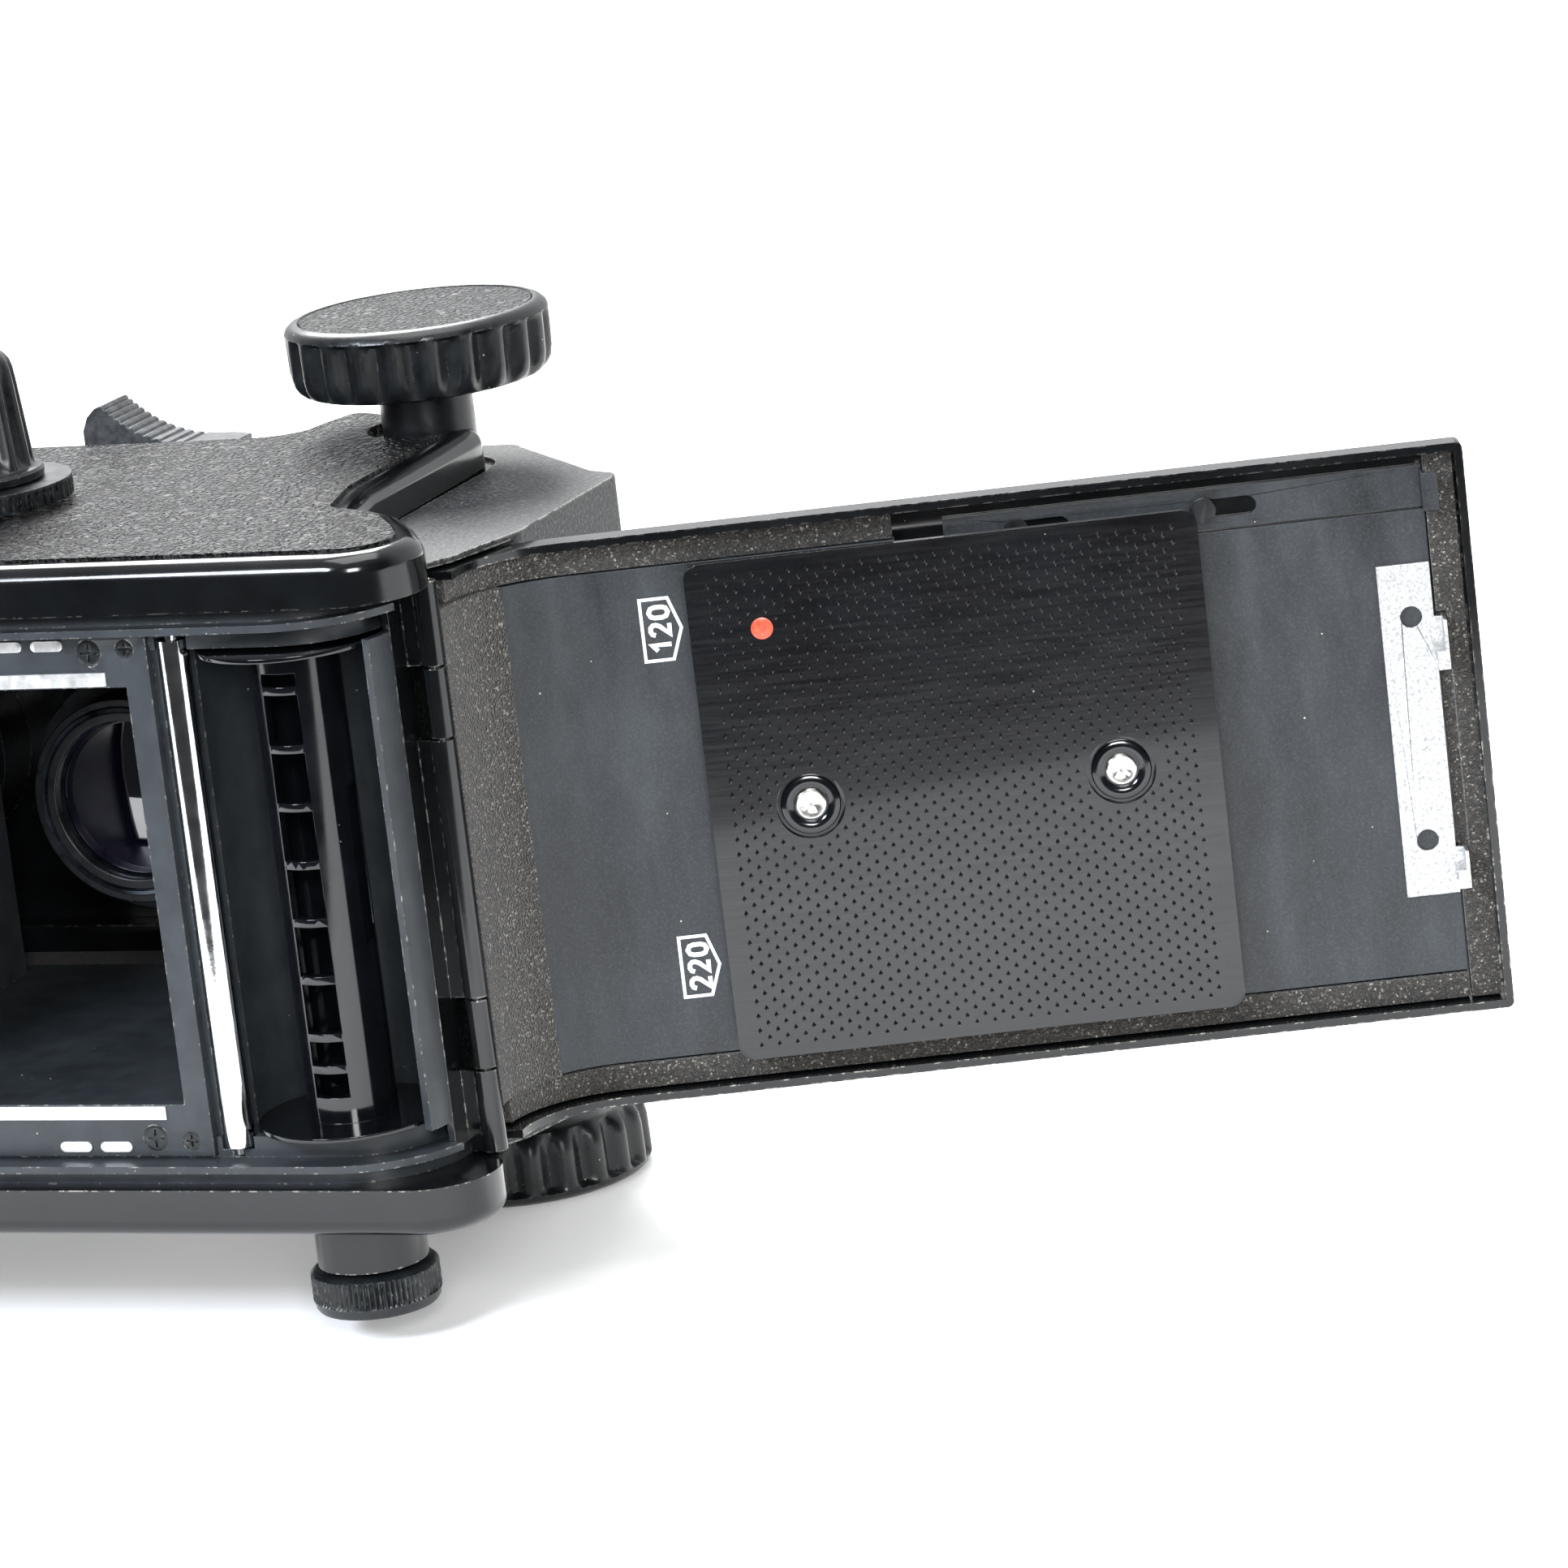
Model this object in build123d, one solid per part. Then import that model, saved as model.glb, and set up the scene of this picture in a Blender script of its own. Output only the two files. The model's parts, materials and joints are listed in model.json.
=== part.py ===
"""Twin lens reflex camera for 120 and 220 roll film, lying on its left side with the back open.

Modelled in millimetres about the centre of the film gate: +X runs to the base of the camera,
+Y out through the lenses and +Z to the photographer's right. Every node is moved at the end so
that the mouth of the tripod socket is the origin.
"""

import math
import os

from build123d import *

# Roll film and the gate
GATE = 56.0                  # clear square of the film gate
SPOOL_GAP = 63.0             # between the flanges of a 120 spool
SPOOL_R = 12.5               # spool flange radius
SPOOL_CORE_R = 5.9
SPOOL_BORE_R = 3.2
SPOOL_PIN, PIN_HOLE = SPOOL_BORE_R - 0.5, SPOOL_BORE_R - 0.1     # pins in the spool, holes in the body
PIN_END = SPOOL_GAP / 2 - 1.9
WINDOW = 4.8                 # width of the windows along the spool core
SPOOL_X, SPOOL_Y = 48.15, 8.63   # axis of the lower spool, mirrored in X for the upper one
ROLLER_X, ROLLER_Y, ROLLER_R = 34.7, 1.7, 2.0

# Body
PANEL_Z = 45.0               # outer face of a side panel
PANEL_IN = 38.4              # inner face of a side panel, edge of the door well
PANEL_ROUND = 2.5
FLANGE_Y = -4.0              # back face of the side panels
BODY_TOP, BASE_X = -72.0, 70.0
FRONT_Y = 75.0               # front of the body casting
TUNNEL_X, TUNNEL_Z = 31.0, 30.3
TUNNEL_WALL = 3.0            # reaches just into the chamber walls
CHAMBER_R = SPOOL_R + 0.7
CHAMBER_WALL = 1.2
SIDE_Z = 32.6                # inner face of the chamber side walls
SOCKET_Y = 45.0              # tripod socket, forward of the film plane

# Back door, in its own frame: u from the hinge, v towards the outside of the camera
HINGE_X, HINGE_Y = 65.88, 12.5
HINGE_R, PIN_R = 1.6, 0.8
OPEN_DEG = 21.14             # the open door's direction from +X
DOOR_LEN = HINGE_X - BODY_TOP - 3.58   # ends 0.38 short of the body's upper wall
END = DOOR_LEN - 5.4         # end of the liner, catch and lock bar
DOOR_Z = 38.0                # half width, 0.4 short of the side panels
DOOR_OUT, DOOR_FLOOR, DOOR_LINER, DOOR_RIM = 18.8, 17.7, 16.8, 14.1
SEAL_TOP = 16.4              # crest of the foam along the door's edges
JC = 17.0                    # centre of the curve that wraps the lower spool
DOOR_START = 8.0             # degrees of that curve left off beside the hinge
RIM_T = 1.1
PLATE, PLATE_FACE, PLATE_T = 66.8, 12.75, 1.0
PLATE_U = HINGE_X            # the plate centres on the gate when the door is shut
STUD_OFF, STUD_R = 20.35, 4.5

# Focusing
KNOB_X, KNOB_Y = 39.8, 76.2
KNOB_R, KNOB_IN, KNOB_OUT = 18.1, PANEL_Z + 6.5, PANEL_Z + 16.5
SHAFT_R = 6.4
TEETH, MODULE = 10, 0.8
PITCH_R = TEETH * MODULE / 2
TRAVEL = 46.0
ARM_Z0, ARM_Z1 = 22.0, 28.0

# Lenses and standard
LENS_GAP = 50.0
STD_Y0, STD_Y1 = 84.0, 88.0
BOARD_Y = 91.5

# Winding
WIND_X, WIND_Y = -7.0, 32.1
STEM_R = 3.0
DIAL_Z0, DIAL_Z1 = PANEL_Z + 1.2, PANEL_Z + 3.9
GRIP_Z = PANEL_Z + 5.6
NECK_Z = PANEL_Z + 6.6       # end of the fixed necks round the spool release knobs
RUN = 0.05                   # running clearance on a radius

# Hood
LEAF = 0.8

os.makedirs("parts", exist_ok=True)


def box(x0, x1, y0, y1, z0, z1):
    return Pos((x0 + x1) / 2, (y0 + y1) / 2, (z0 + z1) / 2) * Box(x1 - x0, y1 - y0, z1 - z0)


def rod_z(x, y, r, z0, z1):
    return Pos(x, y, (z0 + z1) / 2) * Cylinder(r, z1 - z0)


def rod_y(x, z, r, y0, y1):
    return Pos(x, (y0 + y1) / 2, z) * Rot(90, 0, 0) * Cylinder(r, y1 - y0)


def rod_x(y, z, r, x0, x1):
    return Pos((x0 + x1) / 2, y, z) * Rot(0, 90, 0) * Cylinder(r, x1 - x0)


def prism(pts, z0, z1):
    face = make_face(Polyline(*pts, close=True))
    return extrude(Pos(0, 0, z0) * face, z1 - z0, dir=(0, 0, 1))


def arc_pts(x, y, r, a0, a1, n=14):
    return [
        (x + r * math.cos(math.radians(a0 + (a1 - a0) * i / n)),
         y + r * math.sin(math.radians(a0 + (a1 - a0) * i / n)))
        for i in range(n + 1)
    ]


def both(shape):
    return shape + mirror(shape, about=Plane.XY)


def flip(shape):
    return mirror(shape, about=Plane.XY)


def export(shape, name):
    moved = Pos(-BASE_X, -SOCKET_Y, 0) * shape
    solids = moved.solids()
    export_step(solids[0] if len(solids) == 1 else Compound(children=list(solids)), f"parts/{name}.step")


# ---------------------------------------------------------------- body casting
JX = HINGE_X - JC            # centre of the door's curve when shut


def outline(back, r, x0):
    """Side view of the body: flat back, a curve round the lower spool, open front."""
    return (
        [(x0, back)] + arc_pts(JX, HINGE_Y, r, -90, 0)
        + [(JX + r, 13.4), (61.0, 18.0), (56.5, 22.6), (51.0, 24.4), (48.0, 24.4)]
        + [(48.0, 72.0), (x0, 72.0)]
    )


def chamber(sx, a0, a1):
    ring = rod_z(sx, SPOOL_Y, CHAMBER_R + CHAMBER_WALL, -SIDE_Z, SIDE_Z)
    ring -= rod_z(sx, SPOOL_Y, CHAMBER_R, -SIDE_Z, SIDE_Z)
    wedge = prism([(sx, SPOOL_Y)] + arc_pts(sx, SPOOL_Y, 30, a0, a1), -SIDE_Z, SIDE_Z)
    return ring & wedge


LIP0, LIP1 = 35.4, 36.4
WALL_IN, WALL_OUT = BODY_TOP + 6.6, BODY_TOP + 3.2    # upper wall of the film chamber
casting = both(prism(outline(1.0, 11.5, WALL_IN), SIDE_Z, LIP0))
lip = prism(outline(-3.2, 15.7, WALL_IN), LIP0, LIP1) - box(58, 75, 7.5, 24.4, LIP0, LIP1)
casting += both(lip + prism(outline(-1.0, 13.5, WALL_OUT), LIP0, PANEL_IN))
casting += chamber(SPOOL_X, -22, 188) + chamber(-SPOOL_X, -8, 202)
tunnel = both(box(-TUNNEL_X - TUNNEL_WALL, TUNNEL_X + TUNNEL_WALL, 1.8, 72, TUNNEL_Z, SIDE_Z))
tunnel += box(TUNNEL_X, TUNNEL_X + TUNNEL_WALL, 1.8, 72, -SIDE_Z, SIDE_Z)
tunnel += box(-TUNNEL_X - TUNNEL_WALL, -TUNNEL_X, 1.8, 72, -SIDE_Z, SIDE_Z)
casting += tunnel
# mirror chamber back wall, top wall of the upper film chamber and its light lip
casting += box(WALL_IN, -TUNNEL_X - TUNNEL_WALL, 25.0, 27.0, -SIDE_Z, SIDE_Z)
casting += box(WALL_IN, -62.2, 0.2, 27.0, -SIDE_Z, SIDE_Z)
casting += box(WALL_IN, WALL_IN + 1.0, -3.2, 0.2, -LIP1, LIP1)
casting += box(WALL_OUT, WALL_IN, -1.0, 72, -PANEL_IN, PANEL_IN)
casting += box(BODY_TOP, WALL_OUT, FLANGE_Y, 72, -PANEL_IN, PANEL_IN)
casting += box(BODY_TOP, 37.4, 72, FRONT_Y, -PANEL_IN, PANEL_IN)
casting += both(box(31, 48, 72, FRONT_Y, 30.3, PANEL_IN))
casting -= box(BODY_TOP + 4, 29.5, 71, 76, -TUNNEL_Z, TUNNEL_Z)              # bellows opening
casting -= box(TUNNEL_X + TUNNEL_WALL, 37.4, 71, 76, -29.2, 29.2)                      # way out for the rack arms
casting -= box(BODY_TOP - 1, BODY_TOP + 8, 27.0, 71.0, -28.5, 28.5)                     # light up to the screen
casting -= rod_z(ROLLER_X, ROLLER_Y, ROLLER_R + 0.4, -34.3, 34.3)
casting -= rod_z(-ROLLER_X, ROLLER_Y, ROLLER_R + 0.4, -34.3, 34.3)
for s in (1, -1):
    casting -= rod_z(s * ROLLER_X, ROLLER_Y, 1.0 + RUN, -35.2, 35.2)
    casting -= rod_z(s * SPOOL_X, SPOOL_Y, PIN_HOLE, -PANEL_IN - 1, -SIDE_Z + 1)   # spool pin passages
casting -= rod_z(-SPOOL_X, SPOOL_Y, PIN_HOLE, SIDE_Z - 1, PANEL_IN + 1)
casting += rod_z(SPOOL_X, SPOOL_Y, SPOOL_PIN, PIN_END, SIDE_Z)                 # fixed spool centre
casting += both(box(SPOOL_X - 6, SPOOL_X + 6, 21.2, 24.4, SIDE_Z - 3, SIDE_Z))
# pockets for the door's catch hooks and the lock bar's tab
for z0, z1 in ((7.3, 16.0), (-22.2, -15.1)):
    casting -= box(BODY_TOP + 4, BODY_TOP + 11.5, -4, 1.4, z0, z1)
casting -= box(BODY_TOP + 5.6, BODY_TOP + 16, -4, 0.9, 27.8, 35.4)
casting -= box(-31.6, 31.6, 0, 1.8, -35.2, 35.2)                      # seat of the gate plate

# body knuckles of the back hinge
KNUCKLES = [(-38.0, -27.0), (-26.7, -17.5), (-17.2, 17.2), (17.5, 26.7), (27.0, 38.0)]


def knuckle(z0, z1, bore):
    return rod_z(HINGE_X, HINGE_Y, HINGE_R, z0, z1) - rod_z(HINGE_X, HINGE_Y, bore, z0, z1)


hinge_leaf = None
for i in (0, 2, 4):
    z0, z1 = KNUCKLES[i]
    web = box(62.6, HINGE_X, 11.6, 13.0, z0, z1) - rod_z(HINGE_X, HINGE_Y, HINGE_R - 0.3, z0, z1)
    piece = knuckle(z0, z1, PIN_R) + web
    hinge_leaf = piece if hinge_leaf is None else hinge_leaf + piece
leaf_plate = box(61.6, 62.6, 7.6, 13.0, -36.5, 36.5)       # ends inside the door's rims
hinge_leaf += leaf_plate
casting -= leaf_plate
casting -= both(box(62.6, 66, 7.5, 13.4, LIP0, PANEL_IN))
hinge_pin = rod_z(HINGE_X, HINGE_Y, PIN_R, -38.2, 38.2)

# ---------------------------------------------------------------- side panels, covering, base
panel_pts = (
    [(BODY_TOP + 3, FLANGE_Y)] + arc_pts(59.6, 5.4, 9.4, -90, 22)
    + [(65.0, 14.6), (60.3, 21.2), (55.2, 25.2), (50.8, 27.4), (48.4, 38.0), (48.0, 71.0)]
    + arc_pts(42.5, 73.5, 5.5, 10, 55, 4) + [(27.4, 89.5)] + arc_pts(24.6, 85.2, 4.8, 70, 180, 5)
    + [(18.6, 80.6)] + arc_pts(14.6, 79.6, 4.2, 0, -90, 4)[1:] + [(5.0, FRONT_Y)]
    + arc_pts(BODY_TOP + 6, FRONT_Y - 6, 6, 90, 180, 5) + arc_pts(BODY_TOP + 3, FLANGE_Y + 3, 3, 180, 270, 4)[:-1]
)
panel = prism(panel_pts, PANEL_IN, PANEL_Z)
panel = fillet([e for e in panel.edges() if abs(e.center().Z - PANEL_Z) < 0.01], PANEL_ROUND)
covering_face = offset(make_face(Polyline(*panel_pts, close=True)), -PANEL_ROUND - 0.9)
cover = extrude(Pos(0, 0, PANEL_Z - 0.6) * covering_face, 1.0, dir=(0, 0, 1))
pocket = extrude(Pos(0, 0, PANEL_Z - 0.6) * covering_face, 2.0, dir=(0, 0, 1))
panel -= pocket
shaft_hole = rod_z(KNOB_X, KNOB_Y, SHAFT_R + RUN, 20, PANEL_Z + 15)
collar = rod_z(KNOB_X, KNOB_Y, SHAFT_R + 1.9, PANEL_IN, PANEL_Z + 0.9)
panel -= shaft_hole
cover -= rod_z(KNOB_X, KNOB_Y, SHAFT_R + 2.2, PANEL_IN, PANEL_Z + 15)
panel += (collar - shaft_hole) - pocket + (rod_z(KNOB_X, KNOB_Y, SHAFT_R + 1.9, PANEL_Z - 0.6, PANEL_Z + 0.9)
                                           - shaft_hole)

side_panel_right, side_panel_left = panel, flip(panel)
leatherette_right, leatherette_left = cover, flip(cover)
side_panel_right -= rod_z(WIND_X, WIND_Y, STEM_R + RUN, PANEL_IN - 5, PANEL_Z + 15)
leatherette_right -= rod_z(WIND_X, WIND_Y, 5.0, PANEL_IN, PANEL_Z + 15)
side_panel_right -= rod_z(-SPOOL_X, SPOOL_Y, PIN_HOLE, PANEL_IN - 1, PANEL_IN + 2)
for s in (1, -1):
    neck = rod_z(s * SPOOL_X, SPOOL_Y, 7.3, -NECK_Z, -PANEL_Z + 0.6)
    side_panel_left += neck
    side_panel_left -= rod_z(s * SPOOL_X, SPOOL_Y, PIN_HOLE, -NECK_Z - 5, -30)
    leatherette_left -= rod_z(s * SPOOL_X, SPOOL_Y, 7.5, -NECK_Z - 5, -30)

BLOCK_Z = 39.2
block_pts = [(48.5, 27.6), (50.9, 27.6), (55.4, 25.5), (60.6, 21.5), (64.2, 17.2), (66.5, 21.0), (BASE_X, 35.2),
             (BASE_X, 64.5)] + arc_pts(66.5, 67.0, 3.5, 0, 45, 4) + [(65.0, 71.3), (46.6, 89.6)] \
    + arc_pts(44.0, 87.4, 3.6, 45, 90, 4) + [(38.2, 91.0), (38.2, 76.0), (48.5, 76.0)]
block = prism(block_pts, -BLOCK_Z, BLOCK_Z)
hollow_pts = [(47.0, 38.0), (66.0, 38.0), (67.6, 42.0), (67.6, 63.0), (64.0, 69.6), (45.0, 88.2), (40.2, 88.6),
              (37.0, 88.6), (37.0, 70.0), (47.0, 70.0)]
block -= prism(hollow_pts, -36.4, 36.4)
door_swing = Pos(HINGE_X, HINGE_Y, 0) * Rot(0, 0, OPEN_DEG) * Pos(JC, 0, 0) * Cylinder(DOOR_OUT + 0.5, 2 * PANEL_IN)
block -= door_swing
block -= box(HINGE_X - 3, 80, 0, 24, -PANEL_IN, PANEL_IN)
block -= both(prism(panel_pts, PANEL_IN, 60))
block -= both(shaft_hole + collar)
block -= rod_z(KNOB_X, KNOB_Y, SHAFT_R + RUN, -BLOCK_Z - 1, BLOCK_Z + 1)
block -= casting
BUSH_R = 8.0
bush = rod_x(SOCKET_Y + 0.0, 0, BUSH_R, 59.0, BASE_X)
block -= bush
tripod_bush = bush - rod_x(SOCKET_Y, 0, 3.175, 60.5, BASE_X)
base_block = block
casting -= both(rod_z(KNOB_X, KNOB_Y, SHAFT_R + RUN, 37, 60)) + rod_z(KNOB_X, KNOB_Y, 2.4 + RUN, -40, 40)
casting -= box(KNOB_X - 6, 50, FRONT_Y - 6, 90, -29, 29)

# ---------------------------------------------------------------- gate, rails, rollers, chamber trim
gate = box(-31.5, 31.5, 0.3, 1.8, -35.0, 35.0) - box(-GATE / 2, GATE / 2, 0, 3, -GATE / 2, GATE / 2)
gate -= rod_z(ROLLER_X, ROLLER_Y, ROLLER_R + 0.4, -36, 36) + rod_z(-ROLLER_X, ROLLER_Y, ROLLER_R + 0.4, -36, 36)
screw_at = [(s * x, t * z) for s in (1, -1) for t in (1, -1) for x, z in ((23.2, 32.6), (28.4, 33.0))]
gate_screws = None
for x, z in screw_at:
    r = 1.75 if abs(x) < 25 else 1.25
    gate -= rod_y(x, z, r, 0, 1.0)
    head = rod_y(x, z, r, 0.35, 1.0)
    head -= box(x - r * 0.7, x + r * 0.7, 0, 0.7, z - 0.2, z + 0.2)
    head -= box(x - 0.2, x + 0.2, 0, 0.7, z - r * 0.7, z + r * 0.7)
    gate_screws = head if gate_screws is None else gate_screws + head
film_gate = gate
rails = both(box(-25.3, 25.3, 0.0, 0.3, 28.2, 30.0))
for x in (-17.4, -11.5, 11.5, 17.4):
    lug = box(x - 1.6, x + 1.6, 0.05, 0.3, 33.0, 34.4)
    rails += both(lug + rod_y(x - 1.6, 33.7, 0.7, 0.05, 0.3) + rod_y(x + 1.6, 33.7, 0.7, 0.05, 0.3))
film_rails = rails


def roller(s):
    body = rod_z(s * ROLLER_X, ROLLER_Y, ROLLER_R, -33.9, 33.9)
    return body + rod_z(s * ROLLER_X, ROLLER_Y, 1.0, -35.0, 35.0)


# leaf spring with its steel roller on the bottom wall of the lower chamber
spring_pts = arc_pts(SPOOL_X, SPOOL_Y, CHAMBER_R, 12, 50, 6) + arc_pts(SPOOL_X, SPOOL_Y, CHAMBER_R - 0.35, 50, 12, 6)
chamber_spring = prism(spring_pts, -10.5, 10.5)
spring_roller = rod_z(SPOOL_X + 12.28 * math.cos(math.radians(57)), SPOOL_Y + 12.28 * math.sin(math.radians(57)),
                      0.9, -8.6, 8.6)
tab_pts = arc_pts(SPOOL_X, SPOOL_Y, CHAMBER_R, 18, 62, 6) + arc_pts(SPOOL_X, SPOOL_Y, CHAMBER_R - 0.3, 62, 18, 6)
film_tab = prism(tab_pts, -32.4, -21.5)

# ---------------------------------------------------------------- mirror, screen, finder base
mirror_plate = Pos(-51.0, 46.0, 0) * Rot(0, 0, 45) * Box(44, 2.0, 54)
mirror_holder = Pos(-51.0, 46.0, 0) * Rot(0, 0, 45) * Pos(0, -1.75, 0) * Box(46, 1.5, 58)
mirror_holder += both(box(-58, -44, 38, 52, 29.0, SIDE_Z) & (Pos(-51.0, 46.0, 0) * Rot(0, 0, 45)
                      * Pos(0, -1.75, 0) * Box(40, 1.5, 80)))
mirror_holder -= casting
FIND_X, SCR0, SCR1 = BODY_TOP - 8.0, BODY_TOP - 5.0, BODY_TOP - 3.2
finder = box(FIND_X, BODY_TOP, 20.0, FRONT_Y + 0.3, -36.0, 36.0)
finder -= box(FIND_X - 2, BODY_TOP + 2, 27.0, 71.0, -27.0, 27.0)
screen_box = box(SCR0, SCR1, 24.5, 72.5, -29.5, 29.5)
finder -= box(SCR0, BODY_TOP + 2, 24.5, 72.5, -29.5, 29.5)
finder += box(SCR1, BODY_TOP, 24.5, 72.5, -29.5, 29.5) - box(SCR1 - 1, BODY_TOP + 2, 27.0, 71.0, -27.0, 27.0)
focusing_screen = screen_box
# hood leaves: height of hinge line, hinge position, leaf height
RIGHT_H, LEFT_H, REAR_H, LID_H = FIND_X - 1.6, FIND_X - 3.4, FIND_X - 5.2, FIND_X - 9.6
LEAF_LEN, LID_LEN = 43.0, 47.0
H_SIDE, H_REAR, H_LID = 30.0, 23.0, 74.0 - 0.6
BAR_R = 0.9
for hx, z in ((RIGHT_H, H_SIDE), (LEFT_H, -H_SIDE)):
    sgn = 1 if z > 0 else -1
    wall = box(hx - 0.6, FIND_X, 27.0, 70.5, min(z + sgn * 1.3, z + sgn * 3.5), max(z + sgn * 1.3, z + sgn * 3.5))
    finder += wall
for hx, y, sgn in ((REAR_H, H_REAR, -1), (LID_H, H_LID, 1)):
    y0, y1 = sorted((y + sgn * 1.3, y + sgn * 2.6)) if sgn < 0 else sorted((y + 1.3, y + 1.9))
    finder += box(hx - 0.6, FIND_X + 1, y0, y1, -27.5, 27.5)
finder_base = finder


def leaf_side(hx, z, y0, y1):
    bar = rod_y(hx, z, BAR_R, y0, y1)
    return bar + box(hx - LEAF_LEN, hx, y0, y1, z - LEAF / 2, z + LEAF / 2)


MAG_X, MAG_Y = LID_H - LID_LEN + 2.4, H_LID - 1.9
SIDE_END = MAG_Y - 1.2 - 0.5             # the side leaves stay clear of the folded magnifier
hood_right = leaf_side(RIGHT_H, H_SIDE, 25.5, SIDE_END)
hood_left = leaf_side(LEFT_H, -H_SIDE, 25.5, SIDE_END)
hood_rear = rod_z(REAR_H, H_REAR, BAR_R, -27.0, 27.0) + box(REAR_H - LEAF_LEN, REAR_H, H_REAR - LEAF / 2,
                                                            H_REAR + LEAF / 2, -27.0, 27.0)
lid = rod_z(LID_H, H_LID, BAR_R, -27.0, 27.0)
lid += box(LID_H - LID_LEN, LID_H, H_LID - LEAF / 2, H_LID + LEAF / 2, -28.5, 28.5)
ears = both(box(MAG_X - 1.4, MAG_X + 1.4, MAG_Y - 1.3, H_LID - LEAF / 2, 16.4, 17.6))
ears -= rod_z(MAG_X, MAG_Y, 0.8 + RUN, -20, 20)
hood_lid = lid + ears
mag = box(MAG_X, MAG_X + 31, MAG_Y - 0.6, MAG_Y + 0.6, -15.6, 15.6) + rod_z(MAG_X, MAG_Y, 0.8, -17.4, 17.4)
mag -= rod_y(MAG_X + 16, 0, 12.0, MAG_Y - 2, MAG_Y + 2)
magnifier_frame = mag + (rod_y(MAG_X + 16, 0, 14.0, MAG_Y - 1.2, MAG_Y + 0.9)
                         - rod_y(MAG_X + 16, 0, 12.0, MAG_Y - 2, MAG_Y + 2))
magnifier_lens = rod_y(MAG_X + 16, 0, 12.0, MAG_Y - 0.9, MAG_Y + 0.7)

# ---------------------------------------------------------------- lugs and shoe
lug_side = box(-66, -57, 38.5, 41.0, PANEL_Z - 0.6, PANEL_Z + 9)
lug_side -= box(-64.2, -58.8, 38, 42, PANEL_Z + 1.8, PANEL_Z + 7.4)
strap_lugs = both(lug_side)
seat = both(box(-66, -57, 38.5, 41.0, PANEL_Z - 0.6, PANEL_Z + 1))
leatherette_right -= seat
leatherette_left -= seat
SHOE = 18.7
shoe = box(-4, 16, 34.0, 56.0, -PANEL_Z - 1.6, -PANEL_Z + 0.6)
shoe += box(-4, 16, 34.0, 35.6, -PANEL_Z - 4.4, -PANEL_Z - 1.6) + box(-4, 16, 54.4, 56.0, -PANEL_Z - 4.4,
                                                                     -PANEL_Z - 1.6)
shoe += box(-4, 16, 34.0, 38.4, -PANEL_Z - 5.4, -PANEL_Z - 4.2) + box(-4, 16, 51.6, 56.0, -PANEL_Z - 5.4,
                                                                     -PANEL_Z - 4.2)
accessory_shoe = shoe
leatherette_left -= shoe

# ---------------------------------------------------------------- back door
place = Pos(HINGE_X, HINGE_Y, 0) * Rot(0, 0, OPEN_DEG)


def band(r_out, r_in, u_end, a0=DOOR_START, a1=90.0):
    """Cross-section between two depths of the door, from a0 degrees round its curve to u_end."""
    o = CenterArc((JC, 0), r_out, 180 - a0, a0 - a1)
    i = CenterArc((JC, 0), r_in, 180 - a0, a0 - a1)
    if u_end is None:
        edges = [o, Line(o @ 1, i @ 1), i, Line(i @ 0, o @ 0)]
    else:
        edges = [o, Line(o @ 1, (u_end, r_out)), Line((u_end, r_out), (u_end, r_in)), Line((u_end, r_in), i @ 1),
                 i, Line(i @ 0, o @ 0)]
    return make_face(Curve() + edges)


def strip(face, z0, z1):
    return extrude(Pos(0, 0, z0) * face, z1 - z0, dir=(0, 0, 1))


shell = strip(band(DOOR_OUT, DOOR_FLOOR, DOOR_LEN), -DOOR_Z, DOOR_Z)
rim = strip(band(DOOR_FLOOR, DOOR_RIM, DOOR_LEN - RIM_T, 16.0), DOOR_Z - RIM_T, DOOR_Z)
shell += both(rim) + box(DOOR_LEN - RIM_T, DOOR_LEN, DOOR_RIM, DOOR_FLOOR, -DOOR_Z, DOOR_Z)
def on_outside(e):
    p = e.center()
    flat = abs(p.Y - DOOR_OUT) < 0.01
    curve = e.geom_type == GeomType.CIRCLE and abs(e.radius - DOOR_OUT) < 0.01
    corner = abs(p.X - DOOR_LEN) < 0.01 and abs(abs(p.Z) - DOOR_Z) < 0.01
    return (flat and (abs(abs(p.Z) - DOOR_Z) < 0.01 or abs(p.X - DOOR_LEN) < 0.01)) or curve or corner


shell = fillet([e for e in shell.edges() if on_outside(e)], 0.9)
door_shell = place * shell
BAR_Z0, BAR_Z1, BAR_C, BAR_T = 29.6, 35.0, 32.3, 0.7
BAR_V = DOOR_FLOOR - 0.1 - BAR_T       # the lock bar lies beside the liner, below the spool flanges
liner = strip(band(DOOR_FLOOR, DOOR_LINER, END, 60.0), -33.0, BAR_Z0 - 0.3)
liner += strip(band(DOOR_FLOOR, DOOR_LINER, 60.2, 60.0), BAR_Z0 - 0.3, 33.0)
door_liner = place * liner
seal = strip(band(DOOR_FLOOR, SEAL_TOP - 0.5, None, 12.0, 59.5), -33.2, 33.2)
seal += strip(band(DOOR_FLOOR, SEAL_TOP, END - 0.1, 24.0), -36.6, -33.3)
seal += strip(band(DOOR_FLOOR, SEAL_TOP, 60.0, 24.0), 33.3, 36.6)
seal += box(END + 0.2, DOOR_LEN - 1.4, SEAL_TOP - 0.2, DOOR_FLOOR, -36.6, 36.6)
door_seals = place * seal
catch = box(END - 7.1, END - 0.1, DOOR_LINER - 0.5, DOOR_LINER, -22.3, 22.3)
for u, z in ((END - 3.1, 15.2), (END - 3.7, -14.8)):
    catch -= Pos(u, DOOR_LINER, z) * Rot(90, 0, 0) * Cylinder(1.4, 3)
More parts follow.
